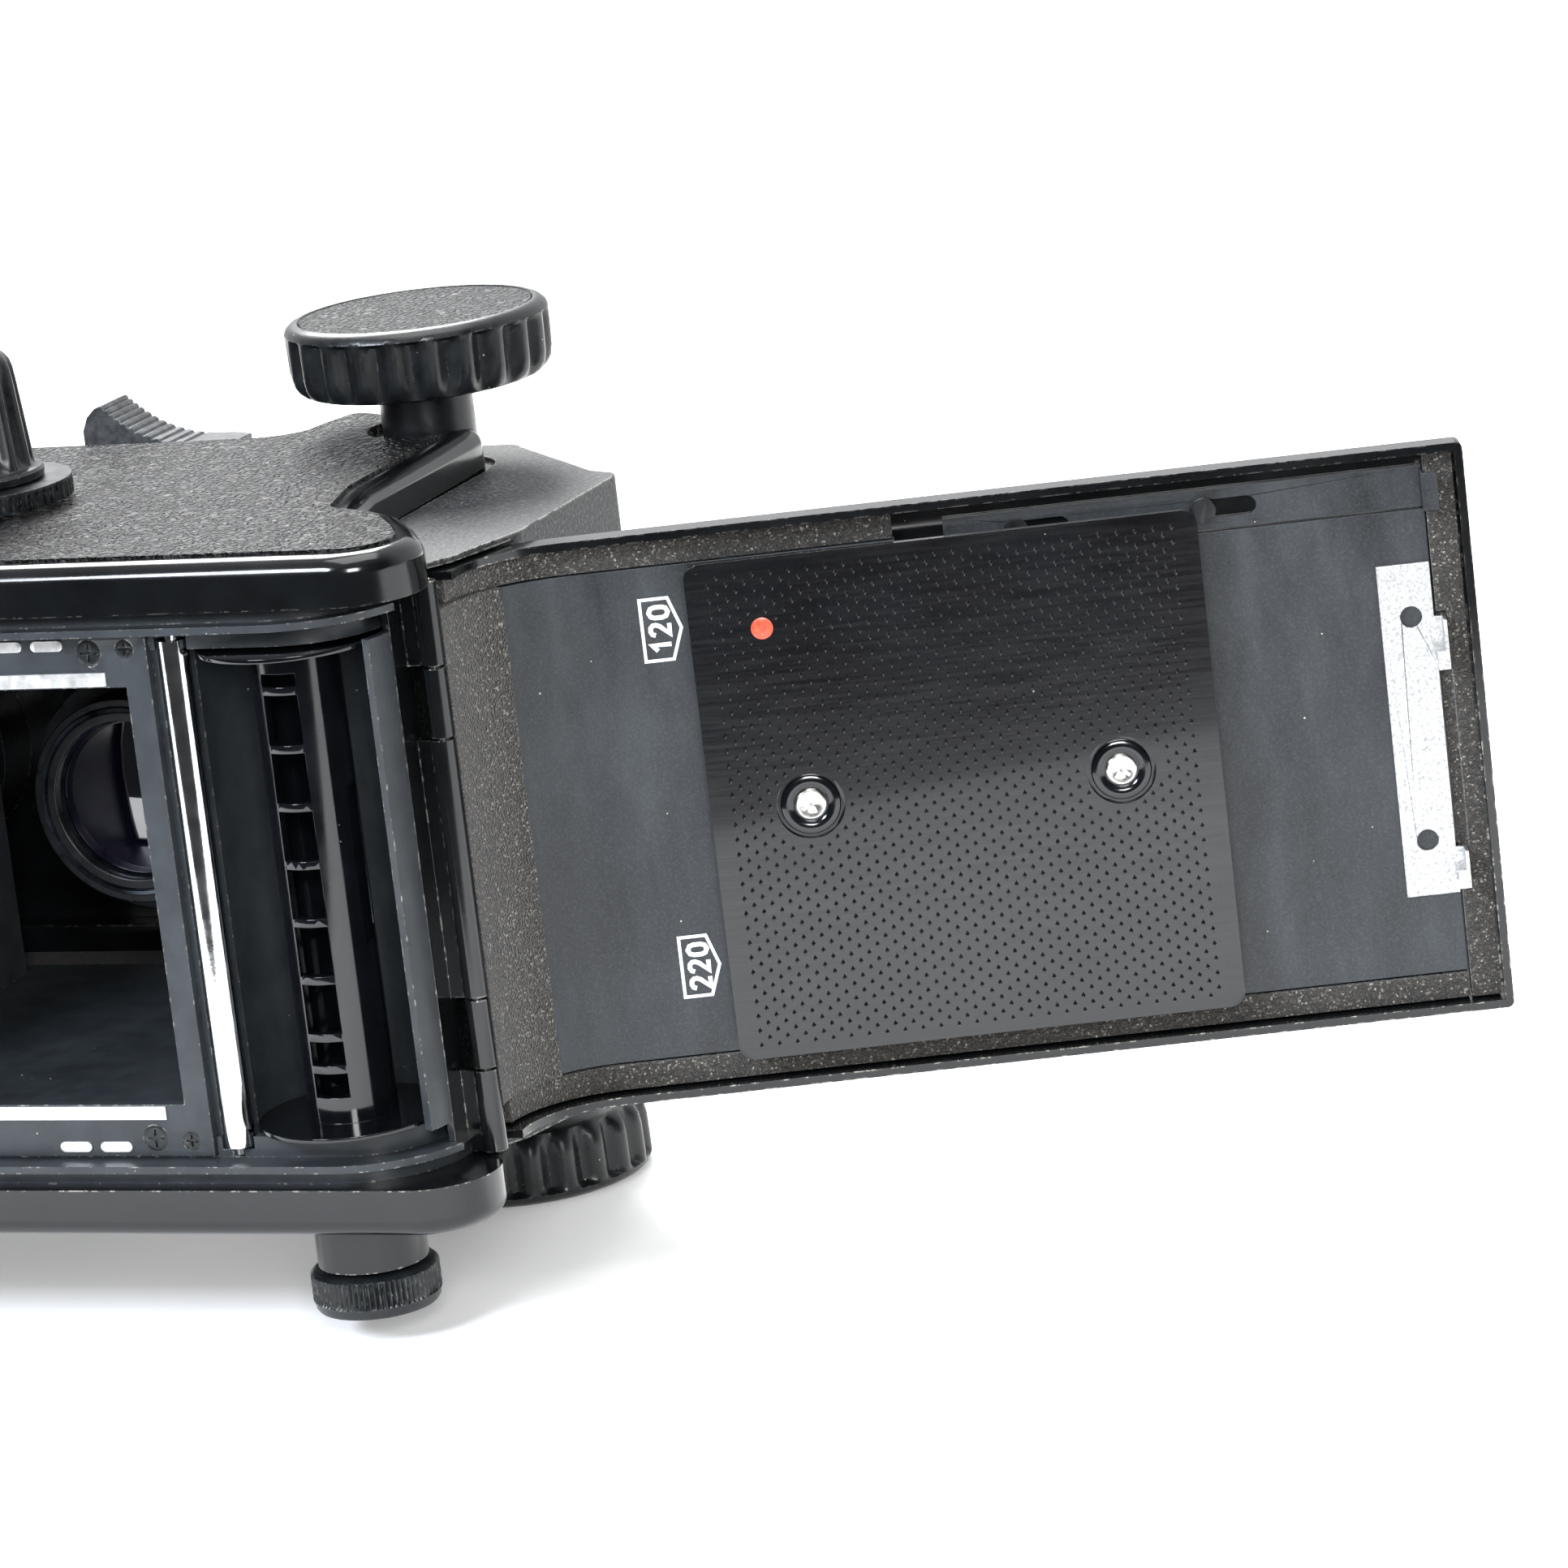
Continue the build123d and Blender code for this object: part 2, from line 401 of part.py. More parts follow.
for z0, z1 in ((8.3, 15.0), (-21.2, -16.1)):
    catch += box(END - 0.5, END + 1.3, DOOR_LINER - 0.5, DOOR_LINER, z0, z1)
    catch += box(END + 0.8, END + 1.3, DOOR_LINER - 3.2, DOOR_LINER, z0, z1)
    catch += box(END - 0.3, END + 1.3, DOOR_LINER - 3.2, DOOR_LINER - 2.7, z0, z0 + 2.4)
seal_gap = box(END - 0.6, END + 1.6, DOOR_LINER - 1, DOOR_LINER + 0.3, -22, 15.6)
door_seals -= place * seal_gap
door_catch = place * catch
door_leaf = None
for i in (1, 3):
    z0, z1 = KNUCKLES[i]
    k = rod_z(0, 0, HINGE_R, z0, z1) - rod_z(0, 0, PIN_R + RUN, z0, z1)
    k += box(-0.9, 0.5, 1.1, 3.4, z0, z1) - rod_z(0, 0, HINGE_R - 0.3, z0, z1)
    door_leaf = k if door_leaf is None else door_leaf + k
door_leaf -= shell
door_hinge_leaf = place * door_leaf
bar = box(66.6, END + 0.1, BAR_V, BAR_V + BAR_T, BAR_Z0, BAR_Z1)
bar += box(END - 0.4, END + 0.1, BAR_V - 3.6, BAR_V + BAR_T, BAR_Z0, BAR_Z1 - 0.4)
bar += box(END + 0.1, END + 1.7, BAR_V - 3.6, BAR_V - 3.1, BAR_Z0, BAR_Z1 - 0.4)
rivets = None
for u in (76.0, 100.3):
    bar -= box(u, u + 5.7, 14, 18, BAR_C - 1.25, BAR_C + 1.25)
    for end in (0.0, 5.7):
        bar -= Pos(u + end, BAR_V, BAR_C) * Rot(90, 0, 0) * Cylinder(1.25, 4)
    riv = Pos(u, (BAR_V - 0.1 + DOOR_FLOOR) / 2, BAR_C) * Rot(90, 0, 0) * Cylinder(0.9, DOOR_FLOOR - BAR_V + 0.1)
    riv += Pos(u, BAR_V - 0.35, BAR_C) * Rot(90, 0, 0) * Cylinder(1.7, 0.6)
    rivets = riv if rivets is None else rivets + riv
lock_slide = place * bar
slide_rivets = place * rivets


def disc(u, z, r, v0, v1):
    return Pos(u, (v0 + v1) / 2, z) * Rot(90, 0, 0) * Cylinder(r, v1 - v0)


carrier = disc(PLATE_U, 0, 10.0, DOOR_LINER - 0.6, DOOR_LINER) + disc(PLATE_U, 0, 3.0, PLATE_FACE + PLATE_T + 0.1,
                                                                     DOOR_LINER - 0.6)
plate_carrier = place * carrier
half = PLATE / 2
plate = box(PLATE_U - half, PLATE_U + half, PLATE_FACE, PLATE_FACE + PLATE_T, -half, half)
plate = fillet(plate.edges().filter_by(Axis.Y), 2.0)
plate += disc(PLATE_U, 0, 6.0, PLATE_FACE + PLATE_T, DOOR_LINER - 0.8)
plate -= disc(PLATE_U, 0, 3.0 + RUN, PLATE_FACE + PLATE_T, DOOR_LINER)
studs = None
for s in (1, -1):
    u = PLATE_U + s * STUD_OFF
    plate -= disc(u, 0, STUD_R, PLATE_FACE, PLATE_FACE + 0.6)
    st = disc(u, 0, 3.9, PLATE_FACE + 0.15, PLATE_FACE + 0.6) - disc(u, 0, 2.4, PLATE_FACE, PLATE_FACE + 0.35)
    st += disc(u, 0, 1.9, PLATE_FACE + 0.2, PLATE_FACE + 0.6)
    studs = st if studs is None else studs + st
pressure_plate = place * plate
plate_studs = place * studs

# ---------------------------------------------------------------- spools and their knobs
def spool(sx):
    r_in = SPOOL_CORE_R - 1.5
    core = rod_z(sx, SPOOL_Y, SPOOL_CORE_R, -SPOOL_GAP / 2, SPOOL_GAP / 2)
    for s in (1, -1):
        z0, z1 = sorted((s * SPOOL_GAP / 2, s * (SPOOL_GAP / 2 + 0.6)))
        core += rod_z(sx, SPOOL_Y, SPOOL_R, z0, z1)
    core -= rod_z(sx, SPOOL_Y, r_in, -SPOOL_GAP / 2 + 3, SPOOL_GAP / 2 - 3)
    core -= rod_z(sx, SPOOL_Y, SPOOL_BORE_R, -40, 40)
    z, heights = -28.0, (3.2, 3.2, 6.6, 6.6, 6.6, 6.6, 6.6, 6.6)
    for h in heights[:2]:
        core -= box(sx - WINDOW / 2, sx + WINDOW / 2, SPOOL_Y - 8, SPOOL_Y - 3, z, z + h)
        z += h + 1.1
    for h in heights[2:]:
        core -= box(sx - WINDOW / 2, sx + WINDOW / 2, SPOOL_Y - 8, SPOOL_Y - 3, z, z + h)
        z += h + 1.1
    core -= box(sx - WINDOW / 2, sx + WINDOW / 2, SPOOL_Y - 8, SPOOL_Y - 3, z, min(z + 3.0, 28.5))
    core -= box(sx - 0.6, sx + 0.6, SPOOL_Y + 3, SPOOL_Y + 8, -27, 27)
    return core


supply_spool = spool(SPOOL_X)
takeup_spool = spool(-SPOOL_X)
key = rod_z(-SPOOL_X, SPOOL_Y, SPOOL_BORE_R - 0.25, SPOOL_GAP / 2 - 1.4, PANEL_IN + 1.8)
key -= rod_z(-SPOOL_X, SPOOL_Y, 1.1, SPOOL_GAP / 2 - 2, SPOOL_GAP / 2 + 1)
key += box(-SPOOL_X - SPOOL_BORE_R, -SPOOL_X + SPOOL_BORE_R, SPOOL_Y - 0.6, SPOOL_Y + 0.6, SPOOL_GAP / 2 - 1.4, SPOOL_GAP / 2)
takeup_key = key & rod_z(-SPOOL_X, SPOOL_Y, SPOOL_BORE_R, 0, PANEL_IN + 10)


def release_knob(sx):
    pin = rod_z(sx, SPOOL_Y, SPOOL_PIN, -NECK_Z - 0.6, -PIN_END)
    head = rod_z(sx, SPOOL_Y, 8.5, -NECK_Z - 6.2, -NECK_Z - 0.4)
    head = chamfer(head.edges().filter_by(GeomType.CIRCLE), 0.7)
    return pin + head


# ---------------------------------------------------------------- focusing drive
def pinion(z0, z1):
    """Ten slim teeth, one of them pointing at the rack."""
    wheel = rod_z(KNOB_X, KNOB_Y, PITCH_R - 1.0, z0, z1)
    for i in range(TEETH):
        tooth = make_face(Polyline((PITCH_R - 1.3, -0.72), (PITCH_R + 0.75, -0.3), (PITCH_R + 0.75, 0.3),
                                   (PITCH_R - 1.3, 0.72), close=True))
        tooth = extrude(Pos(0, 0, z0) * tooth, z1 - z0, dir=(0, 0, 1))
        wheel += Pos(KNOB_X, KNOB_Y, 0) * Rot(0, 0, 180 + 360 / TEETH * i) * tooth
    return wheel


focus_shaft = rod_z(KNOB_X, KNOB_Y, 2.4, -PANEL_IN, PANEL_IN)
focus_shaft += both(pinion(ARM_Z0 + 0.4, ARM_Z1 - 0.4))
focus_shaft += both(rod_z(KNOB_X, KNOB_Y, SHAFT_R, PANEL_IN - 0.6, KNOB_IN + 1.0))


def focus_knob():
    knob = rod_z(KNOB_X, KNOB_Y, KNOB_R, KNOB_IN, KNOB_OUT)
    knob = chamfer(knob.edges().filter_by(GeomType.CIRCLE).sort_by(Axis.Z)[-1:], 0.8)
    knob = chamfer(knob.edges().filter_by(GeomType.CIRCLE).sort_by(Axis.Z)[:1], 1.2)
    flutes = 22
    for i in range(flutes):
        a = 360 / flutes * i
        cut = Pos(KNOB_X, KNOB_Y, 0) * Rot(0, 0, a) * rod_z(KNOB_R + 0.9, 0, 1.7, KNOB_IN - 1, KNOB_OUT - 1.6)
        knob -= cut
    knob -= rod_z(KNOB_X, KNOB_Y, 15.9, KNOB_OUT - 0.7, KNOB_OUT + 1)
    return knob - focus_shaft


focus_knob_right = focus_knob()
focus_knob_left = flip(focus_knob_right)
knob_discs = both(rod_z(KNOB_X, KNOB_Y, 15.9, KNOB_OUT - 0.7, KNOB_OUT - 0.1))

# ---------------------------------------------------------------- front standard and lenses
STD_X0, STD_X1 = BODY_TOP + 1.0, 33.0
standard = box(STD_X0, STD_X1, STD_Y0, STD_Y1, -37.4, 37.4) - box(-66.5, 20.0, STD_Y0 - 1, STD_Y1 + 1, -27.0, 27.0)
RACK_BACK = KNOB_X - PITCH_R          # pitch line
PITCH = math.pi * MODULE
arm = box(33.9 + 0.25, RACK_BACK - 0.9, 27.0, STD_Y1, ARM_Z0, ARM_Z1)
arm += box(30.0, RACK_BACK - 0.9, STD_Y0, STD_Y1, ARM_Z0, ARM_Z1)
n0, n1 = math.ceil((28.5 - KNOB_Y) / PITCH - 0.5), math.floor((83.5 - KNOB_Y) / PITCH - 0.5)
for n in range(n0, n1 + 1):
    y = KNOB_Y + (n + 0.5) * PITCH
    tooth = make_face(Polyline((RACK_BACK - 1.0, y - 0.62), (RACK_BACK + 0.7, y - 0.28),
                               (RACK_BACK + 0.7, y + 0.28), (RACK_BACK - 1.0, y + 0.62), close=True))
    arm += extrude(Pos(0, 0, ARM_Z0) * tooth, ARM_Z1 - ARM_Z0, dir=(0, 0, 1))
front_standard = standard + both(arm)

BOARD_X0, BOARD_X1, BOARD_Z = -72.0, 28.0, 33.0
board = box(BOARD_X0 + 0.0, BOARD_X1, STD_Y1, BOARD_Y, -BOARD_Z, BOARD_Z)
board = fillet(board.edges().filter_by(Axis.Y), 5.0)
T_R, V_R = 17.0, 15.5
board -= rod_y(0, 0, T_R, 80, 100) + rod_y(-LENS_GAP, 0, V_R, 80, 100)
lens_board = board
FILTER_R = 22.6
taking = rod_y(0, 0, T_R, 56.0, 93.0) + rod_y(0, 0, T_R - 2.6, 50.0, 56.0) + rod_y(0, 0, 24.3, BOARD_Y, 99.0)
taking += rod_y(0, 0, 23.6, 99.0, 109.0)
taking -= rod_y(0, 0, FILTER_R, 104.0, 112.0) + rod_y(0, 0, 15.0, 99.5, 112.0)
taking -= rod_y(0, 0, 11.2, 45.0, 58.0) + rod_y(0, 0, 10.0, 45.0, 110.0)
APER_Y0, APER_Y1 = 93.4, 96.6
taking -= rod_y(0, 0, 25, APER_Y0, APER_Y1) - rod_y(0, 0, 22.4, APER_Y0, APER_Y1)
taking_barrel = taking
viewing = rod_y(-LENS_GAP, 0, V_R, 80.0, 93.0) + rod_y(-LENS_GAP, 0, 24.3, BOARD_Y, 97.0)
viewing += rod_y(-LENS_GAP, 0, 23.6, 97.0, 107.0)
viewing -= rod_y(-LENS_GAP, 0, 21.6, 103.0, 108.0) + rod_y(-LENS_GAP, 0, 15.0, 97.5, 108.0)
viewing -= rod_y(-LENS_GAP, 0, 12.0, 79.0, 110.0)
viewing_barrel = viewing
glass = rod_y(0, 0, 11.2, 51.0, 54.0) + rod_y(0, 0, 15.0, 99.5, 102.5)
glass += rod_y(-LENS_GAP, 0, 12.0, 80.5, 83.5) + rod_y(-LENS_GAP, 0, 15.0, 97.5, 100.5)
lens_glass = glass
ring = rod_y(0, 0, 24.6, APER_Y0 + 0.2, APER_Y1 - 0.2) - rod_y(0, 0, 22.4 + RUN, 90, 100)
ring += box(-1.6, 1.6, APER_Y0 + 0.2, APER_Y1 - 0.2, 24.2, 28.4)
aperture_ring = ring
LEVER_Y0, LEVER_Y1 = 97.0, 98.4
taking_barrel -= rod_y(0, 0, 25, LEVER_Y0, LEVER_Y1) - rod_y(0, 0, 22.4, LEVER_Y0, LEVER_Y1)
lever = rod_y(0, 0, 24.6, LEVER_Y0 + 0.2, LEVER_Y1 - 0.2) - rod_y(0, 0, 22.4 + RUN, 90, 100)
lever += Rot(0, 125, 0) * box(-2.0, 2.0, LEVER_Y0 + 0.2, LEVER_Y1 - 0.2, 24.0, 29.0)
cocking_lever = lever

bellows = None
N_FOLD = 5
step = (STD_Y0 - FRONT_Y) / (2 * N_FOLD - 1)
for i in range(2 * N_FOLD - 1):
    big = i % 2 == 0
    zo, xo = (33.5, 0.0) if big else (31.3, 2.2)
    frame = box(-70.0 + xo, 26.0 - xo, FRONT_Y + i * step, FRONT_Y + (i + 1) * step, -zo, zo)
    frame -= box(-67.0, 23.0, FRONT_Y - 1, STD_Y0 + 1, -30.0, 30.0)
    bellows = frame if bellows is None else bellows + frame

# ---------------------------------------------------------------- wind knob and shutter release
wind_knob = rod_z(WIND_X, WIND_Y, STEM_R, PANEL_IN + 0.3, DIAL_Z1 + 0.1) + rod_z(WIND_X, WIND_Y, 9.5, DIAL_Z1, GRIP_Z)
grip = Pos(WIND_X, WIND_Y, GRIP_Z) * Cone(8.3, 6.9, 15.9, align=(Align.CENTER, Align.CENTER, Align.MIN))
grip = fillet(grip.edges().filter_by(GeomType.CIRCLE).sort_by(Axis.Z)[-1:], 1.6)
for i in range(14):
    cut = Pos(WIND_X, WIND_Y, 0) * Rot(0, 0, 360 / 14 * i) * Pos(8.9, 0, GRIP_Z + 1.2) * Rot(0, -5, 0) \
        * Cylinder(1.2, 15, align=(Align.CENTER, Align.CENTER, Align.MIN))
    grip -= cut
wind_knob += grip
wind_dial = rod_z(WIND_X, WIND_Y, 13.0, DIAL_Z0, DIAL_Z1) - rod_z(WIND_X, WIND_Y, STEM_R, DIAL_Z0 - 1, DIAL_Z1 + 1)
for i in range(60):
    wind_dial -= Pos(WIND_X, WIND_Y, 0) * Rot(0, 0, 6 * i) * box(12.6, 14, -0.3, 0.3, DIAL_Z0 - 0.2, DIAL_Z1 - 0.5)

REL_X, REL_Z = 9.0, 41.5
rel_pts = [(-13.0, 41.5), (-12.8, 46.6), (-9.6, 50.2), (-6.2, 47.6), (-1.6, 45.3), (3.4, 44.2), (9.0, 43.9)]
rel = Polyline(*[(x, z) for x, z in rel_pts + [(9.0, 39.1), (-9.0, 39.1)]], close=True)
rel_body = extrude(Plane.XZ.offset(-84.0) * make_face(rel), 8.0)
release_lever = rel_body - rod_y(REL_X - 2.0, REL_Z, 1.2 + RUN, 70, 90)
release_pivot = rod_y(REL_X - 2.0, REL_Z, 1.2, FRONT_Y, 84.6)

# ---------------------------------------------------------------- write every node
release_pivot -= side_panel_right
nodes = dict(
    body_casting=casting, side_panel_right=side_panel_right, side_panel_left=side_panel_left,
    leatherette_right=leatherette_right, leatherette_left=leatherette_left, base_block=base_block,
    tripod_bush=tripod_bush, film_gate=film_gate, film_rails=film_rails, gate_screws=gate_screws,
    chamber_spring=chamber_spring, spring_roller=spring_roller, film_tab=film_tab, hinge_leaf=hinge_leaf,
    hinge_pin=hinge_pin, reflex_mirror=mirror_plate, mirror_holder=mirror_holder,
    focusing_screen=focusing_screen, finder_base=finder_base, strap_lugs=strap_lugs,
    accessory_shoe=accessory_shoe, bellows=bellows,
    roller_lower=roller(1), roller_upper=roller(-1),
    door_shell=door_shell, door_liner=door_liner, door_seals=door_seals, door_catch=door_catch,
    door_hinge_leaf=door_hinge_leaf, slide_rivets=slide_rivets, plate_carrier=plate_carrier,
    pressure_plate=pressure_plate, plate_studs=plate_studs, lock_slide=lock_slide,
    focus_shaft=focus_shaft, focus_knob_right=focus_knob_right, focus_knob_left=focus_knob_left,
    knob_discs=knob_discs, front_standard=front_standard, lens_board=lens_board,
    taking_barrel=taking_barrel, viewing_barrel=viewing_barrel, lens_glass=lens_glass,
    aperture_ring=aperture_ring, cocking_lever=cocking_lever, wind_knob=wind_knob, wind_dial=wind_dial,
    supply_spool=supply_spool, takeup_spool=takeup_spool, takeup_key=takeup_key,
    release_knob_lower=release_knob(SPOOL_X), release_knob_upper=release_knob(-SPOOL_X),
    release_lever=release_lever, release_pivot=release_pivot,
    hood_lid=hood_lid, hood_rear=hood_rear, hood_left=hood_left, hood_right=hood_right,
    magnifier=magnifier_frame + magnifier_lens,
)
for name, shape in nodes.items():
    export(shape, name)
print(len(nodes), "nodes")
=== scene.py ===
"""Looks of a twin lens reflex camera, lying on its left side with the film back open."""

import json
import math

import bmesh
import bpy
from mathutils import Matrix, Vector


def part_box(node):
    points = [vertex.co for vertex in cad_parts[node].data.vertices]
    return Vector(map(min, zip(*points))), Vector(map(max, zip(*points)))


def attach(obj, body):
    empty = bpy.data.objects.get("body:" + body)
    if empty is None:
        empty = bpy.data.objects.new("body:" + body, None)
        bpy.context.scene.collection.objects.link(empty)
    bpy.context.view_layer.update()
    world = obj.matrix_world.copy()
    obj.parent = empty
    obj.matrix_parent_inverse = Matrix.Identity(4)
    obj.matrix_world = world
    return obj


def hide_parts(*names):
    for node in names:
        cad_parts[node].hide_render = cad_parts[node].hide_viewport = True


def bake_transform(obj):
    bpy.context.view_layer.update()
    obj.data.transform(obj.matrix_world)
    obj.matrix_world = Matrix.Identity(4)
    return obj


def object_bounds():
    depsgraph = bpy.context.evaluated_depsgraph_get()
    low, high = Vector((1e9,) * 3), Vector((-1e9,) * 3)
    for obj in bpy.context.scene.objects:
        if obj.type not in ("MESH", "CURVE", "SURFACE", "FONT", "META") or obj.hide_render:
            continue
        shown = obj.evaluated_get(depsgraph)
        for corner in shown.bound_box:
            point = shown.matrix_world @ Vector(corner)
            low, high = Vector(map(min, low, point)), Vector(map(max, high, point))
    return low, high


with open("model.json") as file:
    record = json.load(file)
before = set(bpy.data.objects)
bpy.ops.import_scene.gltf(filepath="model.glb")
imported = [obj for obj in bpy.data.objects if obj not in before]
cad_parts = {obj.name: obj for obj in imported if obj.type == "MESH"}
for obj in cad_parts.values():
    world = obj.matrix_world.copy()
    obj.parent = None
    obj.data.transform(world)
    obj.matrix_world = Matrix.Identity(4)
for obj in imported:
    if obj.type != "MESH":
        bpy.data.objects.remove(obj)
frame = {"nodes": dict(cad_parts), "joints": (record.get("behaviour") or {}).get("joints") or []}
cad_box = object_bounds()
MM = 0.001
scene = bpy.context.scene
JOINT = {j["name"]: j for j in frame["joints"]}


def at(joint):
    """Where a joint's axis passes."""
    return Vector(JOINT[joint]["pos_m"])


# ------------------------------------------------------------------ shading
def linear(code):
    """Linear colour of an sRGB hex value."""
    parts = [int(code[i:i + 2], 16) / 255 for i in (1, 3, 5)]
    return tuple(c / 12.92 if c <= 0.04045 else ((c + 0.055) / 1.055) ** 2.4 for c in parts) + (1.0,)


def add(tree, kind, sockets=None, out=0, stops=(), ease="LINEAR", **settings):
    """Adds one node with its settings, colour stops, socket values and links; returns one of its outputs."""
    n = tree.nodes.new("ShaderNode" + kind)
    for key, value in settings.items():
        setattr(n, key, value)
    for key, value in (sockets or {}).items():
        if isinstance(value, bpy.types.NodeSocket):
            tree.links.new(value, n.inputs[key])
        else:
            n.inputs[key].default_value = linear(value) if isinstance(value, str) else value
    if stops:
        n.color_ramp.interpolation = ease
        while len(n.color_ramp.elements) < len(stops):
            n.color_ramp.elements.new(0.5)
        for e, (place, tone) in zip(n.color_ramp.elements, stops):
            e.position = place
            e.color = linear(tone) if isinstance(tone, str) else (tone, tone, tone, 1)
    return n if out is None else n.outputs[out]


def new_material(name, **shader):
    """A Principled material; returns it with its tree, shader and object coordinates."""
    m = bpy.data.materials.new(name)
    m.use_nodes = True
    t = m.node_tree
    t.nodes.clear()
    s = add(t, "BsdfPrincipled", shader, None)
    add(t, "OutputMaterial", {"Surface": s.outputs[0]}, None)
    return m, t, s, add(t, "TexCoord", out="Object")


def feed(t, s, **sources):
    """Links worked-out values to a shader's sockets, named with underscores for spaces."""
    for key, source in sources.items():
        t.links.new(source, s.inputs[key.replace("_", " ")])


def mottle(t, co, size_mm, detail, stops, rough=0.55):
    """Uneven tone: noise of a real size, spread over colour or value stops."""
    fac = add(t, "TexNoise", {"Scale": 1 / (size_mm * MM), "Detail": detail, "Roughness": rough,
                              "Vector": co}, "Fac")
    return add(t, "ValToRGB", {"Fac": fac}, "Color", stops)


def relief(t, s, co, size_mm, detail, depth_mm, rough=0.55):
    """Fine relief of a real size and depth, as a bump on the shader."""
    height = add(t, "TexNoise", {"Scale": 1 / (size_mm * MM), "Detail": detail, "Roughness": rough,
                                 "Vector": co}, "Fac")
    feed(t, s, Normal=add(t, "Bump", {"Strength": 1.0, "Distance": depth_mm * MM, "Height": height}))


def blend_in(t, mask, base, colour):
    """A colour laid over another through a mask."""
    return add(t, "Mix", {0: mask, 6: base, 7: colour}, 2, data_type="RGBA")


def edge_mask(t, co, reach_mm, patch_mm, amount):
    """Where a handled edge has lost its paint: an edge test broken up by patches."""
    bevel = add(t, "Bevel", {"Radius": reach_mm * MM}, samples=4)
    flat = add(t, "NewGeometry", out="Normal")
    turn = add(t, "VectorMath", {0: bevel, 1: flat}, "Value", operation="DOT_PRODUCT")
    edge = add(t, "ValToRGB", {"Fac": turn}, "Color", [(0.90, 1.0), (0.985, 0.0)])
    patch = mottle(t, co, patch_mm, 6, [(0.62 - amount * 0.2, 0.0), (0.66 - amount * 0.2, 1.0)], 0.7)
    return add(t, "Math", {0: edge, 1: patch}, operation="MULTIPLY")


def dusty(t, co, base, colour, spacing_mm, radius_mm, share):
    """A base colour with sparse specks of dust: a small dot in some of many large cells."""
    cell = add(t, "TexVoronoi", {"Scale": 1 / (spacing_mm * MM), "Vector": co}, None).outputs
    number = add(t, "SeparateColor", {0: cell["Color"]})
    reach = add(t, "Math", {0: number, 1: radius_mm / spacing_mm}, operation="MULTIPLY")
    dot = add(t, "Math", {0: cell["Distance"], 1: reach}, operation="LESS_THAN")
    few = add(t, "Math", {0: number, 1: share}, operation="LESS_THAN")
    return blend_in(t, add(t, "Math", {0: dot, 1: few}, operation="MULTIPLY"), base, colour)


# ------------------------------------------------------------------ finishes
def painted(name, dark, light, rough, wear, grain_mm, specks, coat, texture):
    """Black paint on die-cast aluminium: soft tone changes, bare chips on the edges, a little dust."""
    m, t, s, co = new_material(name, **{"Specular IOR Level": 0.5, "Coat Weight": coat,
                                        "Coat Roughness": 0.08})
    base = mottle(t, co, grain_mm, 5, [(0.3, dark), (0.7, light)], 0.6)
    base = dusty(t, co, base, "#a8a296", 2.6, 0.34, specks)
    chips = edge_mask(t, co, 0.35, 1.3, wear)
    feed(t, s, Base_Color=blend_in(t, chips, base, "#b9b6ae"), Metallic=chips,
         Roughness=mottle(t, co, grain_mm * 2.3, 4, [(0.3, rough[0]), (0.7, rough[1])], 0.6))
    size, depth = texture
    relief(t, s, co, size, 3, depth, 0.6)
    return m


# Gloss enamel, sprayed and stoved: deep black with a clear shine, worn to metal on its edges.
gloss_enamel = painted("gloss_enamel", "#08090a", "#101214", (0.10, 0.2), 0.45, 6.0, 0.35, 0.12, (0.9, 0.004))
# Matte light-trap paint inside the body: dry dark grey.
trap_paint = painted("trap_paint", "#22262a", "#32373b", (0.34, 0.5), 0.3, 6.0, 0.5, 0.0, (0.4, 0.012))
# Crackle enamel on the base casting: a fine dry grain of about 0.5 mm, with painted highlights in grey on its
# crests.
crackle_enamel, t, s, co = new_material("crackle_enamel", Roughness=0.55)
# Painted highlight: the same noise drives this colour and the relief, so the grain's crests are painted grey.
base = mottle(t, co, 0.55, 2, [(0.35, "#191a1b"), (0.55, "#2b2d2e"), (0.72, "#55585a")], 0.5)
base = blend_in(t, edge_mask(t, co, 0.5, 1.6, 0.8), base, "#a9a8a2")
feed(t, s, Base_Color=dusty(t, co, base, "#b5b0a4", 2.2, 0.3, 0.4))
relief(t, s, co, 0.55, 2, 0.16, 0.5)
# Satin paint of the door liner: blue-grey, rubbed, with wiped stains.
liner_paint, t, s, co = new_material("liner_paint")
streaks = add(t, "Mapping", {"Scale": (1.0, 1.0, 0.35), "Vector": co})
base = mottle(t, streaks, 9, 6, [(0.32, "#15181b"), (0.5, "#23272b"), (0.66, "#2e3337")], 0.65)
base = blend_in(t, mottle(t, co, 0.35, 2, [(0.45, 0.0), (0.8, 0.35)]), base, "#4b5054")
feed(t, s, Base_Color=dusty(t, co, base, "#b9b2a2", 3.4, 0.34, 0.45),
     Roughness=mottle(t, streaks, 9, 6, [(0.3, 0.30), (0.7, 0.46)], 0.65))
relief(t, s, co, 0.35, 2, 0.02)
# Foam light seal: open-cell foam, dark brown-grey, cells about 0.3 mm apart, with a few cells painted pale as
# painted glints.
seal_foam, t, s, co = new_material("seal_foam", Roughness=0.75, **{"Sheen Weight": 0.3})
cell = add(t, "TexVoronoi", {"Scale": 1 / (0.26 * MM), "Vector": co}, None).outputs
# Painted glints: the palest stops colour a few cells near-white.
base = add(t, "ValToRGB", {"Fac": add(t, "SeparateColor", {0: cell["Color"]})}, "Color",
           [(0.0, "#14110e"), (0.55, "#2e2b27"), (0.86, "#403c37"), (0.95, "#67635c"), (1.0, "#9a968d")])
wall = add(t, "Bump", {"Strength": 1.0, "Distance": 0.3 * MM, "Height": cell["Distance"]})
feed(t, s, Base_Color=base, Normal=wall)
